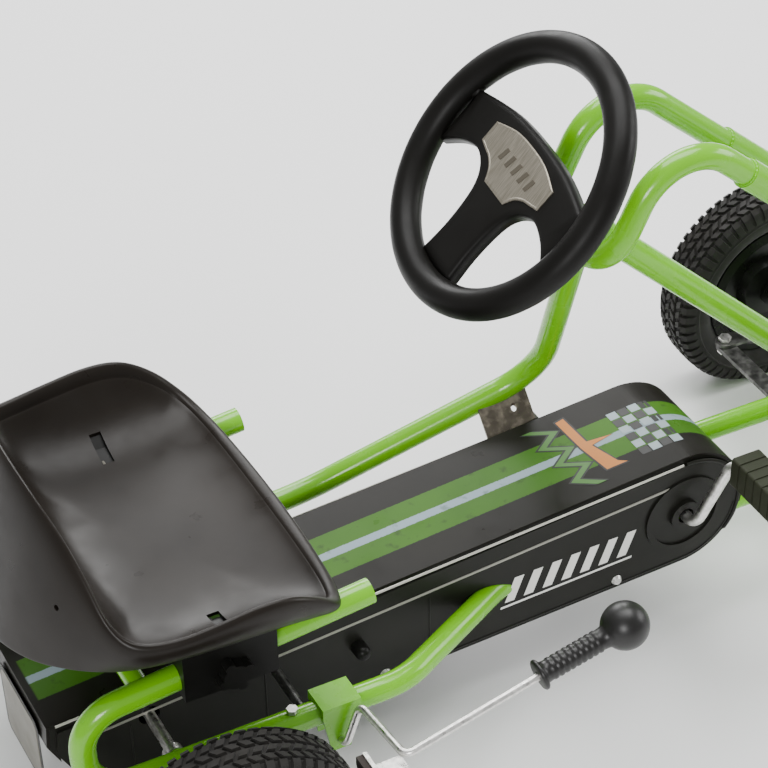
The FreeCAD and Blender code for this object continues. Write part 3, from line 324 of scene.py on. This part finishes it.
FINISHES = {
    "frame_paint": enamel(),
    "case_plastic": moulded("case_plastic", tone(29, 29, 25), 0.36),
    "cover_plastic": striped_cover(),
    "seat_plastic": moulded("seat_plastic", tone(30, 26, 22), 0.33, 1100.0),
    "saddle_plastic": moulded("saddle_plastic", tone(18, 18, 16), 0.40),
    "zinc_steel": zinc("zinc_plate", (0.78, 0.77, 0.74)),
    "dark_steel": oiled_steel("dark_steel", (0.10, 0.10, 0.095)),
    "bracket_steel": oiled_steel("bracket_steel", tone(112, 105, 94), 0.38),
    "chain_steel": oiled_steel("chain_steel", (0.20, 0.18, 0.16), 0.36),
    "tyre_rubber": rubber("tyre_rubber", tone(22, 20, 17)),
    "rim_plastic": moulded("rim_plastic", tone(17, 18, 15), 0.30),
    "grip_rubber": plain("grip_rubber", tone(18, 17, 16), 0.38, 0.2, 1600.0, 0.00006),
    "wheel_plastic": moulded("wheel_plastic", tone(16, 15, 13), 0.42, 2100.0, 0.00007),
    "badge_metal": brushed_badge(),
    "bush_plastic": plain("bush_plastic", tone(190, 188, 178), 0.5),
    "pedal_plastic": moulded("pedal_plastic", tone(48, 50, 38), 0.5, 1000.0, 0.00008),
    "pad_rubber": plain("pad_rubber", tone(48, 40, 36), 0.8, 0.25),
    "anchor_plastic": plain("anchor_plastic", tone(112, 109, 99), 0.45),
    "brass": zinc("brass", (0.62, 0.44, 0.16), 0.3),
    "badge_dark": plain("badge_dark", tone(104, 98, 86), 0.4, metal=0.7),
    # pale grey beads: painted highlights on the chain case's rounded step edges, the lower bead a dimmer
    # painted highlight
    "painted_highlight_bright": plain("painted_highlight_bright", tone(205, 203, 193), 0.32, 0.06, metal=0.4),
    "painted_highlight_dim": plain("painted_highlight_dim", tone(158, 157, 147), 0.35, 0.08, metal=0.4),
    "print_white": plain("print_white", tone(238, 238, 232), 0.45, 0.05),
    "print_black": plain("print_black", tone(18, 18, 16), 0.45, 0.1),
    "print_green": plain("print_green", tone(66, 120, 36), 0.45, 0.1),
    "print_orange": plain("print_orange", tone(206, 122, 20), 0.45, 0.1),
    "print_pale": plain("print_pale", tone(158, 172, 180), 0.45, 0.06),
}


def dress_cad():
    """Every CAD node takes the finish that its slot names."""
    slots = {row["node"]: row["material_slot"] for row in frame["record"]["subparts"]}
    for name, obj in NODES.items():
        finish = FINISHES[slots[name]].mat
        for place in obj.material_slots:
            place.material = finish



# ---- shape tools ----------------------------------------------------------------------------------
def make_piece(name, verts, faces, finish, body, slot, smooth=True):
    mesh = bpy.data.meshes.new(name)
    mesh.from_pydata([tuple(v) for v in verts], [], faces)
    mesh.validate()
    return finish_piece(name, mesh, finish, body, smooth)


def finish_piece(name, mesh, finish, body, smooth=True):
    """Outward normals, finish and body for a new mesh."""
    tool = bmesh.new()
    tool.from_mesh(mesh)
    bmesh.ops.remove_doubles(tool, verts=tool.verts, dist=1e-6)
    bmesh.ops.recalc_face_normals(tool, faces=tool.faces)
    for face in tool.faces:
        face.smooth = smooth
    tool.to_mesh(mesh)
    tool.free()
    mesh.materials.append(finish.mat)
    piece = bpy.data.objects.new(name, mesh)
    bpy.context.scene.collection.objects.link(piece)
    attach(piece, body)
    return piece


def round_edges(piece, width, segments=3, angle=30.0):
    bevel = piece.modifiers.new("edges", "BEVEL")
    bevel.width = width
    bevel.segments = segments
    bevel.limit_method = "ANGLE"
    bevel.angle_limit = math.radians(angle)
    bevel.harden_normals = False
    return bevel


def soften(piece, levels=2):
    smooth = piece.modifiers.new("smooth", "SUBSURF")
    smooth.levels = smooth.render_levels = levels
    return smooth


def grid(rows, close_rows=False, close_columns=True):
    """Vertices and quads from rows of points, each row a loop when its columns close."""
    verts = [p for row in rows for p in row]
    count = len(rows[0])
    faces = []
    for i in range(len(rows) - (0 if close_rows else 1)):
        for j in range(count - (0 if close_columns else 1)):
            a, b = i * count, ((i + 1) % len(rows)) * count
            k = (j + 1) % count
            faces.append((a + j, a + k, b + k, b + j))
    return verts, faces


def lathe(profile, origin, axis, steps=96):
    """A profile of (distance along the axis, radius) turned about it; ends at radius 0 are closed."""
    axis = Vector(axis).normalized()
    side = axis.orthogonal().normalized()
    other = axis.cross(side)
    turns = [FULL * i / steps for i in range(steps)]
    out = [side * math.cos(t) + other * math.sin(t) for t in turns]
    rows = [[Vector(origin) + axis * d + way * max(r, 1e-5) for way in out] for d, r in profile]
    verts, faces = grid(rows)
    for end, row in ((0, 0), (1, len(rows) - 1)):
        if profile[-end][1] == 0:
            faces.append(tuple(range(row * steps, (row + 1) * steps)))
    return verts, faces


def prism(outline, step):
    """A closed outline of points carried along a step."""
    count = len(outline)
    verts = [Vector(p) for p in outline] + [Vector(p) + Vector(step) for p in outline]
    faces = [tuple(range(count)), tuple(range(2 * count - 1, count - 1, -1))]
    faces += [(i, (i + 1) % count, count + (i + 1) % count, count + i) for i in range(count)]
    return verts, faces


def block(low, high):
    corners = [(x, y, z) for z in (low[2], high[2]) for x, y in
               ((low[0], low[1]), (high[0], low[1]), (high[0], high[1]), (low[0], high[1]))]
    return corners, [(0, 3, 2, 1), (4, 5, 6, 7), (0, 1, 5, 4), (1, 2, 6, 5), (2, 3, 7, 6), (3, 0, 4, 7)]


def join(parts):
    verts, faces = [], []
    for more, quads in parts:
        base = len(verts)
        verts.extend(more)
        faces.extend(tuple(i + base for i in f) for f in quads)
    return verts, faces


def smooth_line(points, between=8, closed=False):
    """A Catmull-Rom line through the points."""
    points = [Vector(p) for p in points]
    count = len(points)
    line = []
    for i in range(count if closed else count - 1):
        if closed:
            a, b, c, d = (points[(i + k) % count] for k in (-1, 0, 1, 2))
        else:
            a, b, c, d = points[max(i - 1, 0)], points[i], points[i + 1], points[min(i + 2, count - 1)]
        for k in range(between):
            t = k / between
            line.append(0.5 * (2 * b + (c - a) * t + (2 * a - 5 * b + 4 * c - d) * t ** 2
                               + (3 * b - 3 * c + d - a) * t ** 3))
    if not closed:
        line.append(points[-1])
    return line


def strip(line, out, across_width, height, closed=False):
    """A low bead with a rounded back along a line; out is the way that it stands up."""
    out = Vector(out).normalized()
    rows = []
    count = len(line)
    for i, p in enumerate(line):
        before = line[i - 1] if i or closed else line[0]
        after = line[(i + 1) % count] if closed else line[min(i + 1, count - 1)]
        cross = (after - before).normalized().cross(out)
        row = []
        for k in range(7):
            turn = math.pi * k / 6
            row.append(p + cross * (across_width / 2 * math.cos(turn)) + out * (height * math.sin(turn)))
        rows.append(row)
    return grid(rows, close_rows=closed, close_columns=True)


# ---- seat -----------------------------------------------------------------------------------------
SEAT_MIDDLE, SEAT_FLOOR, SEAT_T = 45.0, 272.0, 4.0
# half of the seat's rim and of its lower hem in mm, from the back's middle round the left side to the front
SEAT_RIM = [(-76, 0, 418), (-74, 55, 414), (-69, 98, 402), (-63, 134, 376), (-57, 163, 347),
            (-42, 181, 333), (-10, 190, 330), (30, 193, 334), (65, 193, 338), (98, 191, 334),
            (127, 184, 316), (147, 171, 295), (157, 140, 285), (161, 80, 282), (162, 0, 281)]
SEAT_HEM = [(-130, 0, 256), (-126, 45, 259), (-112, 90, 266), (-91, 128, 277), (-66, 160, 289),
            (-40, 181, 299), (-8, 188, 301), (30, 190, 300), (65, 190, 299), (98, 188, 296),
            (128, 183, 289), (150, 172, 279), (161, 142, 275), (166, 80, 275), (167, 0, 275)]
# the dish's side: (how far in towards the middle, how far up from the floor), as shares
SEAT_SLOPE = [(0.93, 0.0), (0.75, 0.0), (0.6, 0.01), (0.4, 0.04), (0.26, 0.14), (0.15, 0.34), (0.08, 0.56),
              (0.05, 0.70), (0.034, 0.775), (0.030, 0.775), (0.026, 0.83), (0.012, 0.95)]


def seat_loop(fraction, outward, lift, lower=0.0, drop=0.0):
    half = []
    for (rx, ry, rz), (hx, hy, hz) in zip(SEAT_RIM, SEAT_HEM):
        away = Vector((rx - SEAT_MIDDLE, ry, 0)).normalized()
        height = SEAT_FLOOR + (rz - SEAT_FLOOR) * lift - drop
        upper = Vector((rx + (SEAT_MIDDLE - rx) * fraction, ry * (1 - fraction), height))
        half.append(upper + (Vector((hx, hy, hz)) - upper) * lower + away * outward)
    whole = half + [Vector((p.x, -p.y, p.z)) for p in half[-2:0:-1]]
    return [at(*p) for p in smooth_line(whole, 3, True)]


def make_seat():
    loops = [seat_loop(fraction, 0.0, lift) for fraction, lift in SEAT_SLOPE]
    over_the_rim = [(1.5, 0.0), (5.5, 0.05), (8.0, 0.18), (8.5, 0.40), (6.0, 0.72), (0.6, 0.97), (0.0, 1.0),
                    (-3.0, 1.0), (-3.2, 0.95), (3.5, 0.6), (3.0, 0.24)]
    loops += [seat_loop(0.0, outward, 1.0, lower) for outward, lower in over_the_rim]
    for fraction, lift in reversed(SEAT_SLOPE[:8]):
        steep = max(0.0, 1.0 - fraction / 0.3)
        loops.append(seat_loop(fraction, SEAT_T * steep, lift, 0.0, SEAT_T * (1 - steep)))
    verts, faces = grid(loops)
    count = len(loops[0])
    for row, z in ((0, SEAT_FLOOR), (len(loops) - 1, SEAT_FLOOR - SEAT_T)):
        middle = len(verts)
        verts.append(at(SEAT_MIDDLE, 0, z))
        faces += [(row * count + j, row * count + (j + 1) % count, middle) for j in range(count)]
    seat = make_piece("seat_moulding", verts, faces, FINISHES["seat_plastic"], "seat", "seat_plastic")
    soften(seat, 2)
    cutters = [block(at(46, y - 17, 262), at(58, y + 17, 300)) for y in (-138, 138)]
    screw_hole = [(-0.03, 0), (-0.03, 0.0028), (0.03, 0.0028), (0.03, 0)]
    cutters.append(lathe(screw_hole, at(-90, -118, 340), (1, 0.6, 0), 16))
    verts, faces = join(cutters)
    mesh = bpy.data.meshes.new("slot_cutter")
    mesh.from_pydata(verts, [], faces)
    tool = bmesh.new()
    tool.from_mesh(mesh)
    bmesh.ops.recalc_face_normals(tool, faces=tool.faces)
    tool.to_mesh(mesh)
    tool.free()
    cutter = bpy.data.objects.new("slot_cutter", mesh)
    bpy.context.scene.collection.objects.link(cutter)
    slots = seat.modifiers.new("slots", "BOOLEAN")
    slots.operation = "DIFFERENCE"
    slots.solver = "EXACT"
    slots.object = cutter
    bpy.context.view_layer.update()
    seen = bpy.context.evaluated_depsgraph_get()
    cut = bpy.data.meshes.new_from_object(seat.evaluated_get(seen))
    seat.modifiers.clear()
    seat.data = cut
    bpy.data.objects.remove(cutter)
    sharpen(seat)
    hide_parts("seat_shell")
    make_belt_anchors()


def make_belt_anchors():
    """The moulded bars under the two belt slots, one of them with a brass pin."""
    grey = FINISHES["anchor_plastic"]
    for side, name in ((1, "left"), (-1, "right")):
        y = side * 138
        parts = [block(at(47.5, y - 15, 266), at(50, y + 15, 274)),
                 block(at(54, y - 10, 264), at(56.5, y + 4, 273)),
                 block(at(47, y + 9, 262), at(57, y + 13, 272)),
                 block(at(50, y - 3, 263), at(56, y + 1, 272.5))]
        verts, faces = join(parts)
        finish = grey if side > 0 else FINISHES["saddle_plastic"]
        anchor = make_piece("belt_anchor_" + name, verts, faces, finish, "seat", "seat_plastic", False)
        round_edges(anchor, 0.0006, 2)
    profile = [(0, 0), (0, 0.0018), (0.001, 0.0024), (0.004, 0.0024), (0.005, 0.0018), (0.005, 0)]
    pin = lathe(profile, at(52, -141, 270), (0, 0, 1), 24)
    make_piece("belt_anchor_pin", *pin, FINISHES["brass"], "seat", "zinc_steel")


# ---- steering wheel -------------------------------------------------------------------------------
FACE_UP = Vector((math.sin(STEER_TILT), 0, math.cos(STEER_TILT)))
FACE_OUT = Vector((-math.cos(STEER_TILT), 0, math.sin(STEER_TILT)))
FACE_LEFT = FACE_OUT.cross(FACE_UP)
NOTCH = [(-34, 108), (-18, 86), (-10, 62), (-15, 45), (-27, 33), (-46, 27), (-78, 25), (-112, 28)]


def on_wheel(up, left, out=0.0):
    """A point in the steering wheel's own plane, in millimetres."""
    turn = STEER_TWIST
    a = up * math.cos(turn) - left * math.sin(turn)
    b = up * math.sin(turn) + left * math.cos(turn)
    return STEER_MIDDLE + (FACE_UP * a + FACE_LEFT * b + FACE_OUT * out) / 1000


def mirrored_outline(side, side_steps, crown, crown_steps):
    """A closed edge: down one side, up its mirror image, then over the crown."""
    first = smooth_line([Vector((u, v, 0)) for u, v in side], side_steps)
    second = [Vector((p.x, -p.y, 0)) for p in reversed(first)]
    return first + second + smooth_line([Vector((u, v, 0)) for u, v in crown], crown_steps)


def edge_distance(point, outline):
    """How far a point inside an outline is from its edge."""
    nearest = 1e9
    for a, b in zip(outline, outline[1:] + outline[:1]):
        along = b - a
        share = max(0.0, min(1.0, (point - a).dot(along) / max(along.length_squared, 1e-9)))
        nearest = min(nearest, (point - a - along * share).length)
    return nearest


def pillow(outline, depth, rises):
    """A plate with a rolled edge; rises are (distance in from the edge, height of the face there) in mm."""
    edge = [Vector((p.x, p.y)) for p in outline]
    count = len(edge)
    inner = []
    for inset, _ in rises[1:]:
        for i in range(count):
            along = (edge[(i + 1) % count] - edge[i - 1]).normalized()
            away = Vector((-along.y, along.x)) * inset
            for point in (edge[i] + away, edge[i] - away):
                if abs(edge_distance(point, edge) - inset) < 0.05 * inset + 0.02:
                    inner.append(point)
    flat, _, faces = delaunay_2d_cdt(edge + inner, [], [list(range(count))], 1, 1e-5)[:3]
    tool = bmesh.new()
    tops = []
    for point in flat:
        gap = edge_distance(point, edge)
        height = rises[-1][1]
        for (near, low), (far, high) in zip(rises, rises[1:]):
            if gap < far - 0.04 * far:
                height = low + (high - low) * max(0.0, gap - near) / (far - near)
                break
        tops.append(tool.verts.new(on_wheel(point.x, point.y, height)))
    unders = [tool.verts.new(on_wheel(point.x, point.y, -depth)) for point in flat]
    for face in faces:
        tool.faces.new([tops[k] for k in face])
        tool.faces.new([unders[k] for k in reversed(face)])
    under_of = dict(zip(tops, unders))
    rim = [e for e in tool.edges if e.is_boundary and e.verts[0] in under_of]
    for one, two in [e.verts for e in rim]:
        tool.faces.new((one, two, under_of[two], under_of[one]))
    bmesh.ops.recalc_face_normals(tool, faces=tool.faces)
    mesh = bpy.data.meshes.new("pillow")
    tool.to_mesh(mesh)
    tool.free()
    return mesh


def make_steering_wheel():
    around, about = 192, 40
    rows = []
    for i in range(around):
        angle = FULL * i / around
        row = []
        for j in range(about):
            turn = FULL * j / about
            seam = 0.35 * math.exp(-((turn - math.pi) / 0.09) ** 2)
            behind = max(0.0, -math.sin(turn)) ** 3
            grip = 0.45 * math.cos(angle * 26) * behind * (abs(math.sin(angle)) > 0.35)
            radius = RIM_R * 1000 + min(0.0, grip) - 0.4 + seam
            reach = STEER_R * 1000 + radius * math.cos(turn)
            row.append(on_wheel(reach * math.cos(angle), reach * math.sin(angle), radius * math.sin(turn)))
        rows.append(row)
    wheel = grid(rows, close_rows=True)
    plastic = FINISHES["wheel_plastic"]
    rim = make_piece("steering_rim_cover", *wheel, plastic, "steering", "wheel_plastic")
    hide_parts("steering_wheel_rim")
    crown = [(27, -110), (39.8, -55), (43, 0), (39.8, 55), (27, 110)]
    outline = mirrored_outline(NOTCH, 6, crown, 6)
    mesh = pillow(outline, 14, [(0, -4.5), (0.7, -2.6), (1.8, -1.1), (3.6, -0.3), (6.5, 0.0)])
    pad = finish_piece("steering_pad", mesh, plastic, "steering")
    profile = [(0.013, 0), (0.013, 0.038), (0.018, 0.040), (0.0190, 0.038), (0.0195, 0.024), (0.030, 0.020),
               (0.060, 0.0165), (0.075, 0.0150), (0.0755, 0.0065), (0.074, 0.0065)]
    hub = lathe(profile, STEER_MIDDLE, -FACE_OUT, 64)
    hub = make_piece("steering_hub", *hub, plastic, "steering", "wheel_plastic")
    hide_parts("steering_wheel_spokes")
    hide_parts("steering_wheel_spokes")
    knob = lathe([(-0.004, 0.0092), (0.0, 0.0092), (0.0022, 0.0082), (0.0034, 0.0055), (0.0038, 0)],
                 on_wheel(24, 114, -1.5), FACE_OUT, 40)
    make_piece("steering_pad_boss", *knob, plastic, "steering", "wheel_plastic")
    side = [(0, 58), (-3, 46), (-5.5, 36), (-12, 26), (-22, 19)]
    crown = [(22, -58), (31, -29), (33, 0), (31, 29), (22, 58)]
    rises = [(0, 0.9), (0.5, 1.4), (1.1, 1.6), (2.0, 1.6), (2.5, 1.35)]
    mesh = pillow(mirrored_outline(side, 5, crown, 6), 0.5, rises)
    badge = finish_piece("steering_badge", mesh, FINISHES["badge_metal"], "steering", False)
    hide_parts("steering_badge_plate")
    bars = []
    for k in range(5):
        left = 26 - k * 13
        corners = [(2, left), (15, left - 3), (15, left - 8), (2, left - 5)]
        bars.append(prism([on_wheel(u, v, 1.2) for u, v in corners], FACE_OUT * 0.0007))
    dark = FINISHES["badge_dark"]
    bars = make_piece("steering_badge_bars", *join(bars), dark, "steering", "badge_metal", False)
    round_edges(bars, 0.0002, 1)


# ---- chain case -----------------------------------------------------------------------------------
def nose_arc(radius, first, last, y, steps=40):
    """Points round the case's nose, by angle above the forward direction."""
    points = []
    for i in range(steps + 1):
        a = math.radians(first + (last - first) * i / steps)
        points.append(at(NOSE_X + radius * math.cos(a), y, NOSE_Z + radius * math.sin(a)))
    return points


def straight(start, end, steps=24):
    return [start.lerp(end, i / steps) for i in range(steps + 1)]


def make_case_trim():
    """Pale grey beads along each side as painted highlights on the case's step edges, moulded steps round
    the nose, and a printed row of slanted bars.
    """
    for side, name in ((-1, "right"), (1, "left")):
        y = side * CASE_SIDE
        step = (0, side * PRINT_T, 0)
        out = (0, side, 0)
        upper = straight(at(-92, y, 154.5), at(592, y, 203.2))
        lower = straight(at(-60, y, 127.3), at(592, y, 178.8))
        # both beads are pale grey: painted highlights along the step edges, the lower one a dimmer painted
        # highlight
        for line, kind, finish in ((upper, "upper", "painted_highlight_bright"), (lower, "lower", "painted_highlight_dim")):
            trim = strip(line, out, 0.0033, 0.0011)
            make_piece(f"case_bead_{kind}_{name}", *trim, FINISHES[finish], "frame", "zinc_steel")
        steps = [strip(nose_arc(65.6, 93, -38, y), out, 0.0046, 0.0016),
                 strip(nose_arc(41.5, 93, -25, y), out, 0.0046, 0.0016)]
        low = straight(at(-40, y, 49.5), at(596, y, 76.0)) + nose_arc(61.0, -86, -8, y)[1:]
        steps.append(strip(low, out, 0.0022, 0.0007))
        for x in (-20, 120, 300, 455):
            low_z, high_z = 53 + x * 0.0414, 124 + x * 0.079
            if side > 0 or x < 380:
                steps.append(strip(straight(at(x, y, low_z), at(x, y, high_z), 6), out, 0.0018, 0.0006))
        plastic = FINISHES["case_plastic"]
        make_piece("case_steps_" + name, *join(steps), plastic, "frame", "case_plastic")
        bars = []
        for k in range(7):
            x, z = 386 + k * 22, 103.2 + k * 0.95
            corners = [(x, z), (x + 11, z), (x + 22, z + 30), (x + 11, z + 30)]
            if side > 0:
                corners.reverse()
            bars.append(prism([at(u, y, v) for u, v in corners], step))
        rule = [at(381, y, 96.0), at(536, y, 102.4), at(536.6, y, 105.2), at(381.6, y, 98.8)]
        bars.append(prism(rule, step))
        white = FINISHES["print_white"]
        bars = make_piece("case_print_" + name, *join(bars), white, "frame", "case_plastic", False)
        round_edges(bars, 0.0001, 1)


def cover_height(cover, x, y):
    """Height of the case's cover at a point, in millimetres."""
    hit = cover.ray_cast(at(x, y, 400), Vector((0, 0, -1)))[0]
    return hit.z * 1000 if hit else 160 + 0.0815 * x


def printed(cover, corners, lift):
    """A flat printed patch that follows the cover."""
    return prism([at(x, y, cover_height(cover, x, y) + lift) for x, y in corners], (0, 0, 0.00012))


def make_cover_print():
    """Generic racing graphics near the nose: a zigzag, an orange flash and a block of chequers."""
    cover = BVHTree.FromObject(NODES["chain_case_cover"], bpy.context.evaluated_depsgraph_get())
    under, over = 0.10, 0.24           # mm above the cover: outlines first, then the colours on them
    turns = [(478, 52), (503, 38), (480, 22), (505, 8), (482, -8), (507, -22), (484, -38), (506, -54)]
    dark, green = [], []
    for (x0, y0), (x1, y1) in zip(turns, turns[1:]):
        for wide, patches, lift in ((8.5, dark, under), (5.0, green, over)):
            corners = [(x0 - wide, y0), (x0 + wide, y0), (x1 + wide, y1), (x1 - wide, y1)]
            patches.append(printed(cover, corners, lift))
    flash = [(512, 50), (522, 52), (524, 8), (552, 4), (526, 0), (536, -34), (544, -40), (520, -40),
             (514, 2)]
    orange = [printed(cover, flash, over)]
    dark.append(printed(cover, [(x + (2.0 if x > 520 else -2.0), y * 1.05) for x, y in flash], under))
    pale = []
    for i in range(4):
        for j in range(6):
            x, y = 562 + i * 12.5, 33 - j * 12.5
            square = [(x, y), (x + 11, y), (x + 11, y - 11), (x, y - 11)]
            if (i + j) % 2 == 0:
                pale.append(printed(cover, square, over))
            else:
                dark.append(printed(cover, square, under))
    for name, patches, finish in (("dark", dark, "print_black"), ("green", green, "print_green"),
                                  ("orange", orange, "print_orange"), ("pale", pale, "print_pale")):
        ink = FINISHES[finish]
        make_piece("cover_print_" + name, *join(patches), ink, "frame", "cover_plastic", False)


def make_rear_plate():
    """The blank grey plate on the back of the case, in its raised surround."""
    outline = [(-46, 66), (-46, 134), (-40, 140), (40, 140), (46, 134), (46, 66), (40, 60), (-40, 60)]
    for grow, thick, name, finish in ((1.0, 1.2, "rear_plate", "anchor_plastic"),
                                      (1.12, 0.7, "rear_plate_frame", "case_plastic")):
        points = [at(REAR_FACE_X, y * grow, 100 + (z - 100) * grow) for y, z in outline]
        shape = prism(points, (-thick / 1000, 0, 0))
        plate = make_piece(name, *shape, FINISHES[finish], "frame", "case_plastic", False)
        round_edges(plate, 0.0004, 2)


# ---- wheels ---------------------------------------------------------------------------------------
def tread_block(radius, turn, y, length, width, height, skew):
    """One tapered knob: y is across the tyre, turn is round it, skew leans its ends."""
    corners = []
    for level, shrink in ((radius, 1.0), (radius + height, 0.78)):
        for s, t in ((-1, -1), (1, -1), (1, 1), (-1, 1)):
            across = y + s * width / 2 * shrink
            along = turn + (t * length / 2 * shrink + skew * s * shrink) / radius
            corners.append((level * math.cos(along), across, level * math.sin(along)))
    return corners, [(0, 3, 2, 1), (4, 5, 6, 7), (0, 1, 5, 4), (1, 2, 6, 5), (2, 3, 7, 6), (3, 0, 4, 7)]


def tyre_mesh():
    """A tyre about the Y axis: smooth sidewalls with a rib, and rows of wavy knobs across the tread."""
    half = 0.030
    side = [(half - 0.014, 0.0801), (half - 0.0100, 0.0831), (half - 0.0050, 0.0870),
            (half - 0.0016, 0.0925), (half - 0.0004, 0.0985), (half - 0.0008, 0.1030),
            (half + 0.0000, 0.1042), (half - 0.0012, 0.1056), (half - 0.0016, 0.1110),
            (half - 0.0042, 0.1170), (half - 0.0095, 0.1212), (half - 0.018, 0.1228)]
    profile = [(-y, r) for y, r in side] + [(0.0, 0.1231)] + [(y, r) for y, r in reversed(side)]
    parts = [lathe(profile, (0, 0, 0), (0, 1, 0), 128)]
    rows = ((-0.0150, 0.0085, 0.0030, 0.0, 0.1208, 0.1255), (-0.0052, 0.0080, -0.0030, 0.5, 0.1222, 0.1263),
            (0.0052, 0.0080, 0.0030, 0.0, 0.1222, 0.1263), (0.0150, 0.0085, -0.0030, 0.5, 0.1208, 0.1255))
    count = 58
    for i in range(count):
        turn = FULL * i / count
        for y, wide, skew, shift, base, top in rows:
            here = turn + shift * FULL / count
            parts.append(tread_block(base, here, y, 0.0098, wide, top - base, skew))
        for s in (-1, 1):
            parts.append(shoulder_block(turn + (0.25 + 0.5 * (s > 0)) * FULL / count, s))
    mesh = bpy.data.meshes.new("tyre")
    verts, faces = join(parts)
    mesh.from_pydata([tuple(v) for v in verts], [], faces)
    mesh.validate()
    return mesh


def shoulder_block(turn, s):
    """A knob that wraps over the tyre's shoulder."""
    path = [(0.0205, 0.1206, 0.1250), (0.0262, 0.1168, 0.1212), (0.0296, 0.1090, 0.1128)]
    corners = []
    for y, low, high in path:
        for radius in (low - 0.001, high):
            for t in (-1, 1):
                along = turn + t * 0.0046 / radius * (0.86 if radius == high else 1.0)
                spread = y if radius != high else y + 0.0004
                spread = min(spread, 0.0299)
                corners.append((radius * math.cos(along), s * spread, radius * math.sin(along)))
    faces = [(0, 1, 3, 2), (8, 10, 11, 9)]
    for k in (0, 4):
        faces += [(k, k + 4, k + 5, k + 1), (k + 2, k + 3, k + 7, k + 6), (k, k + 2, k + 6, k + 4),
                  (k + 1, k + 5, k + 7, k + 3)]
    return corners, faces


def make_tyres():
    mesh = tyre_mesh()
    tool = bmesh.new()
    tool.from_mesh(mesh)
    bmesh.ops.recalc_face_normals(tool, faces=tool.faces)
    for face in tool.faces:
        face.smooth = len(face.verts) == 4 and face.calc_area() > 2.6e-6
    for edge in tool.edges:
        if len(edge.link_faces) == 2 and edge.calc_face_angle(0.0) > math.radians(34):
            edge.smooth = False
    tool.to_mesh(mesh)
    tool.free()
    mesh.materials.append(FINISHES["tyre_rubber"].mat)
    for name, body, x, y in (("rear_right", "rear_axle", 0.0, -REAR_Y),
                             ("rear_left", "rear_left_wheel", 0.0, REAR_Y),
                             ("front_left", "front_left_wheel", WHEELBASE, FRONT_Y),
                             ("front_right", "front_right_wheel", WHEELBASE, -FRONT_Y)):
        copy = mesh.copy()
        copy.transform(Matrix.Translation((x - MID_X, y, WHEEL_R)))
        tyre = bpy.data.objects.new(name + "_tread", copy)
        bpy.context.scene.collection.objects.link(tyre)
        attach(tyre, body)
        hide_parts(name + "_tyre")


# ---- brake grip -----------------------------------------------------------------------------------
def make_grip():
    """A flange, a ribbed sleeve and a ball, turned about the brake rod."""
    start, ball = at(318, -250, 186), at(411, -250, 209)
    length = (ball - start).length
    profile = [(0, 0.0045), (0, 0.0140), (0.0012, 0.0156), (0.0035, 0.0156), (0.0048, 0.0142),
               (0.0054, 0.0112)]
    ribs = 9
    for k in range(ribs):
        d = 0.012 + k * (length - 0.040) / ribs
        profile += [(d, 0.0104), (d + 0.0016, 0.0113), (d + 0.0040, 0.0113), (d + 0.0054, 0.0104)]
    profile += [(length - 0.026, 0.0106), (length - 0.0215, 0.0112)]
    radius = 0.0238
    begin = math.acos(0.0215 / radius)
    steps = 24
    for k in range(1, steps + 1):
        turn = begin + (math.pi - begin) * k / steps
        wide = max(radius * math.sin(turn), 0.0) if k < steps else 0
        profile.append((length - radius * math.cos(turn), wide))
    grip = lathe(profile, start, ball - start, 72)
    grip = make_piece("brake_grip_ribbed", *grip, FINISHES["grip_rubber"], "brake_lever", "grip_rubber")
    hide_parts("brake_grip")


def sharpen(piece, degrees=32.0):
    """Shading breaks at the mesh's own edges."""
    tool = bmesh.new()
    tool.from_mesh(piece.data)
    for edge in tool.edges:
        edge.smooth = not (len(edge.link_faces) == 2 and edge.calc_face_angle(0.0) > math.radians(degrees))
    tool.to_mesh(piece.data)
    tool.free()


def make_welds():
    """A rippled bead round each front leg tube, where it joins the hoop."""
    leg_y, slope, top_x, top_z = 60, 0.82, 557, 597
    radius = 0.0128
    rows_made = []
    for side, x in ((1, 698), (-1, 640)):
        centre = at(x, side * leg_y, top_z - slope * (x - top_x))
        axis = Vector((1, 0, -slope)).normalized()
        side = axis.orthogonal().normalized()
        other = axis.cross(side)
        rows = []
        for i in range(96):
            turn = FULL * i / 96
            away = side * math.cos(turn) + other * math.sin(turn)
            swell = 0.0013 + 0.0003 * math.sin(i * 1.31)
            row = []
            for j in range(8):
                about = FULL * j / 8
                ripple = away * (radius + swell * math.cos(about)) + axis * (swell * math.sin(about))
                row.append(centre + ripple)
            rows.append(row)
        rows_made.append(grid(rows, close_rows=True))
    make_piece("tube_joint_beads", *join(rows_made), FINISHES["frame_paint"], "frame", "frame_paint")


make_camera()
make_studio()
dress_cad()
make_seat()
make_steering_wheel()
make_case_trim()
make_cover_print()
make_rear_plate()
make_tyres()
make_grip()
make_welds()
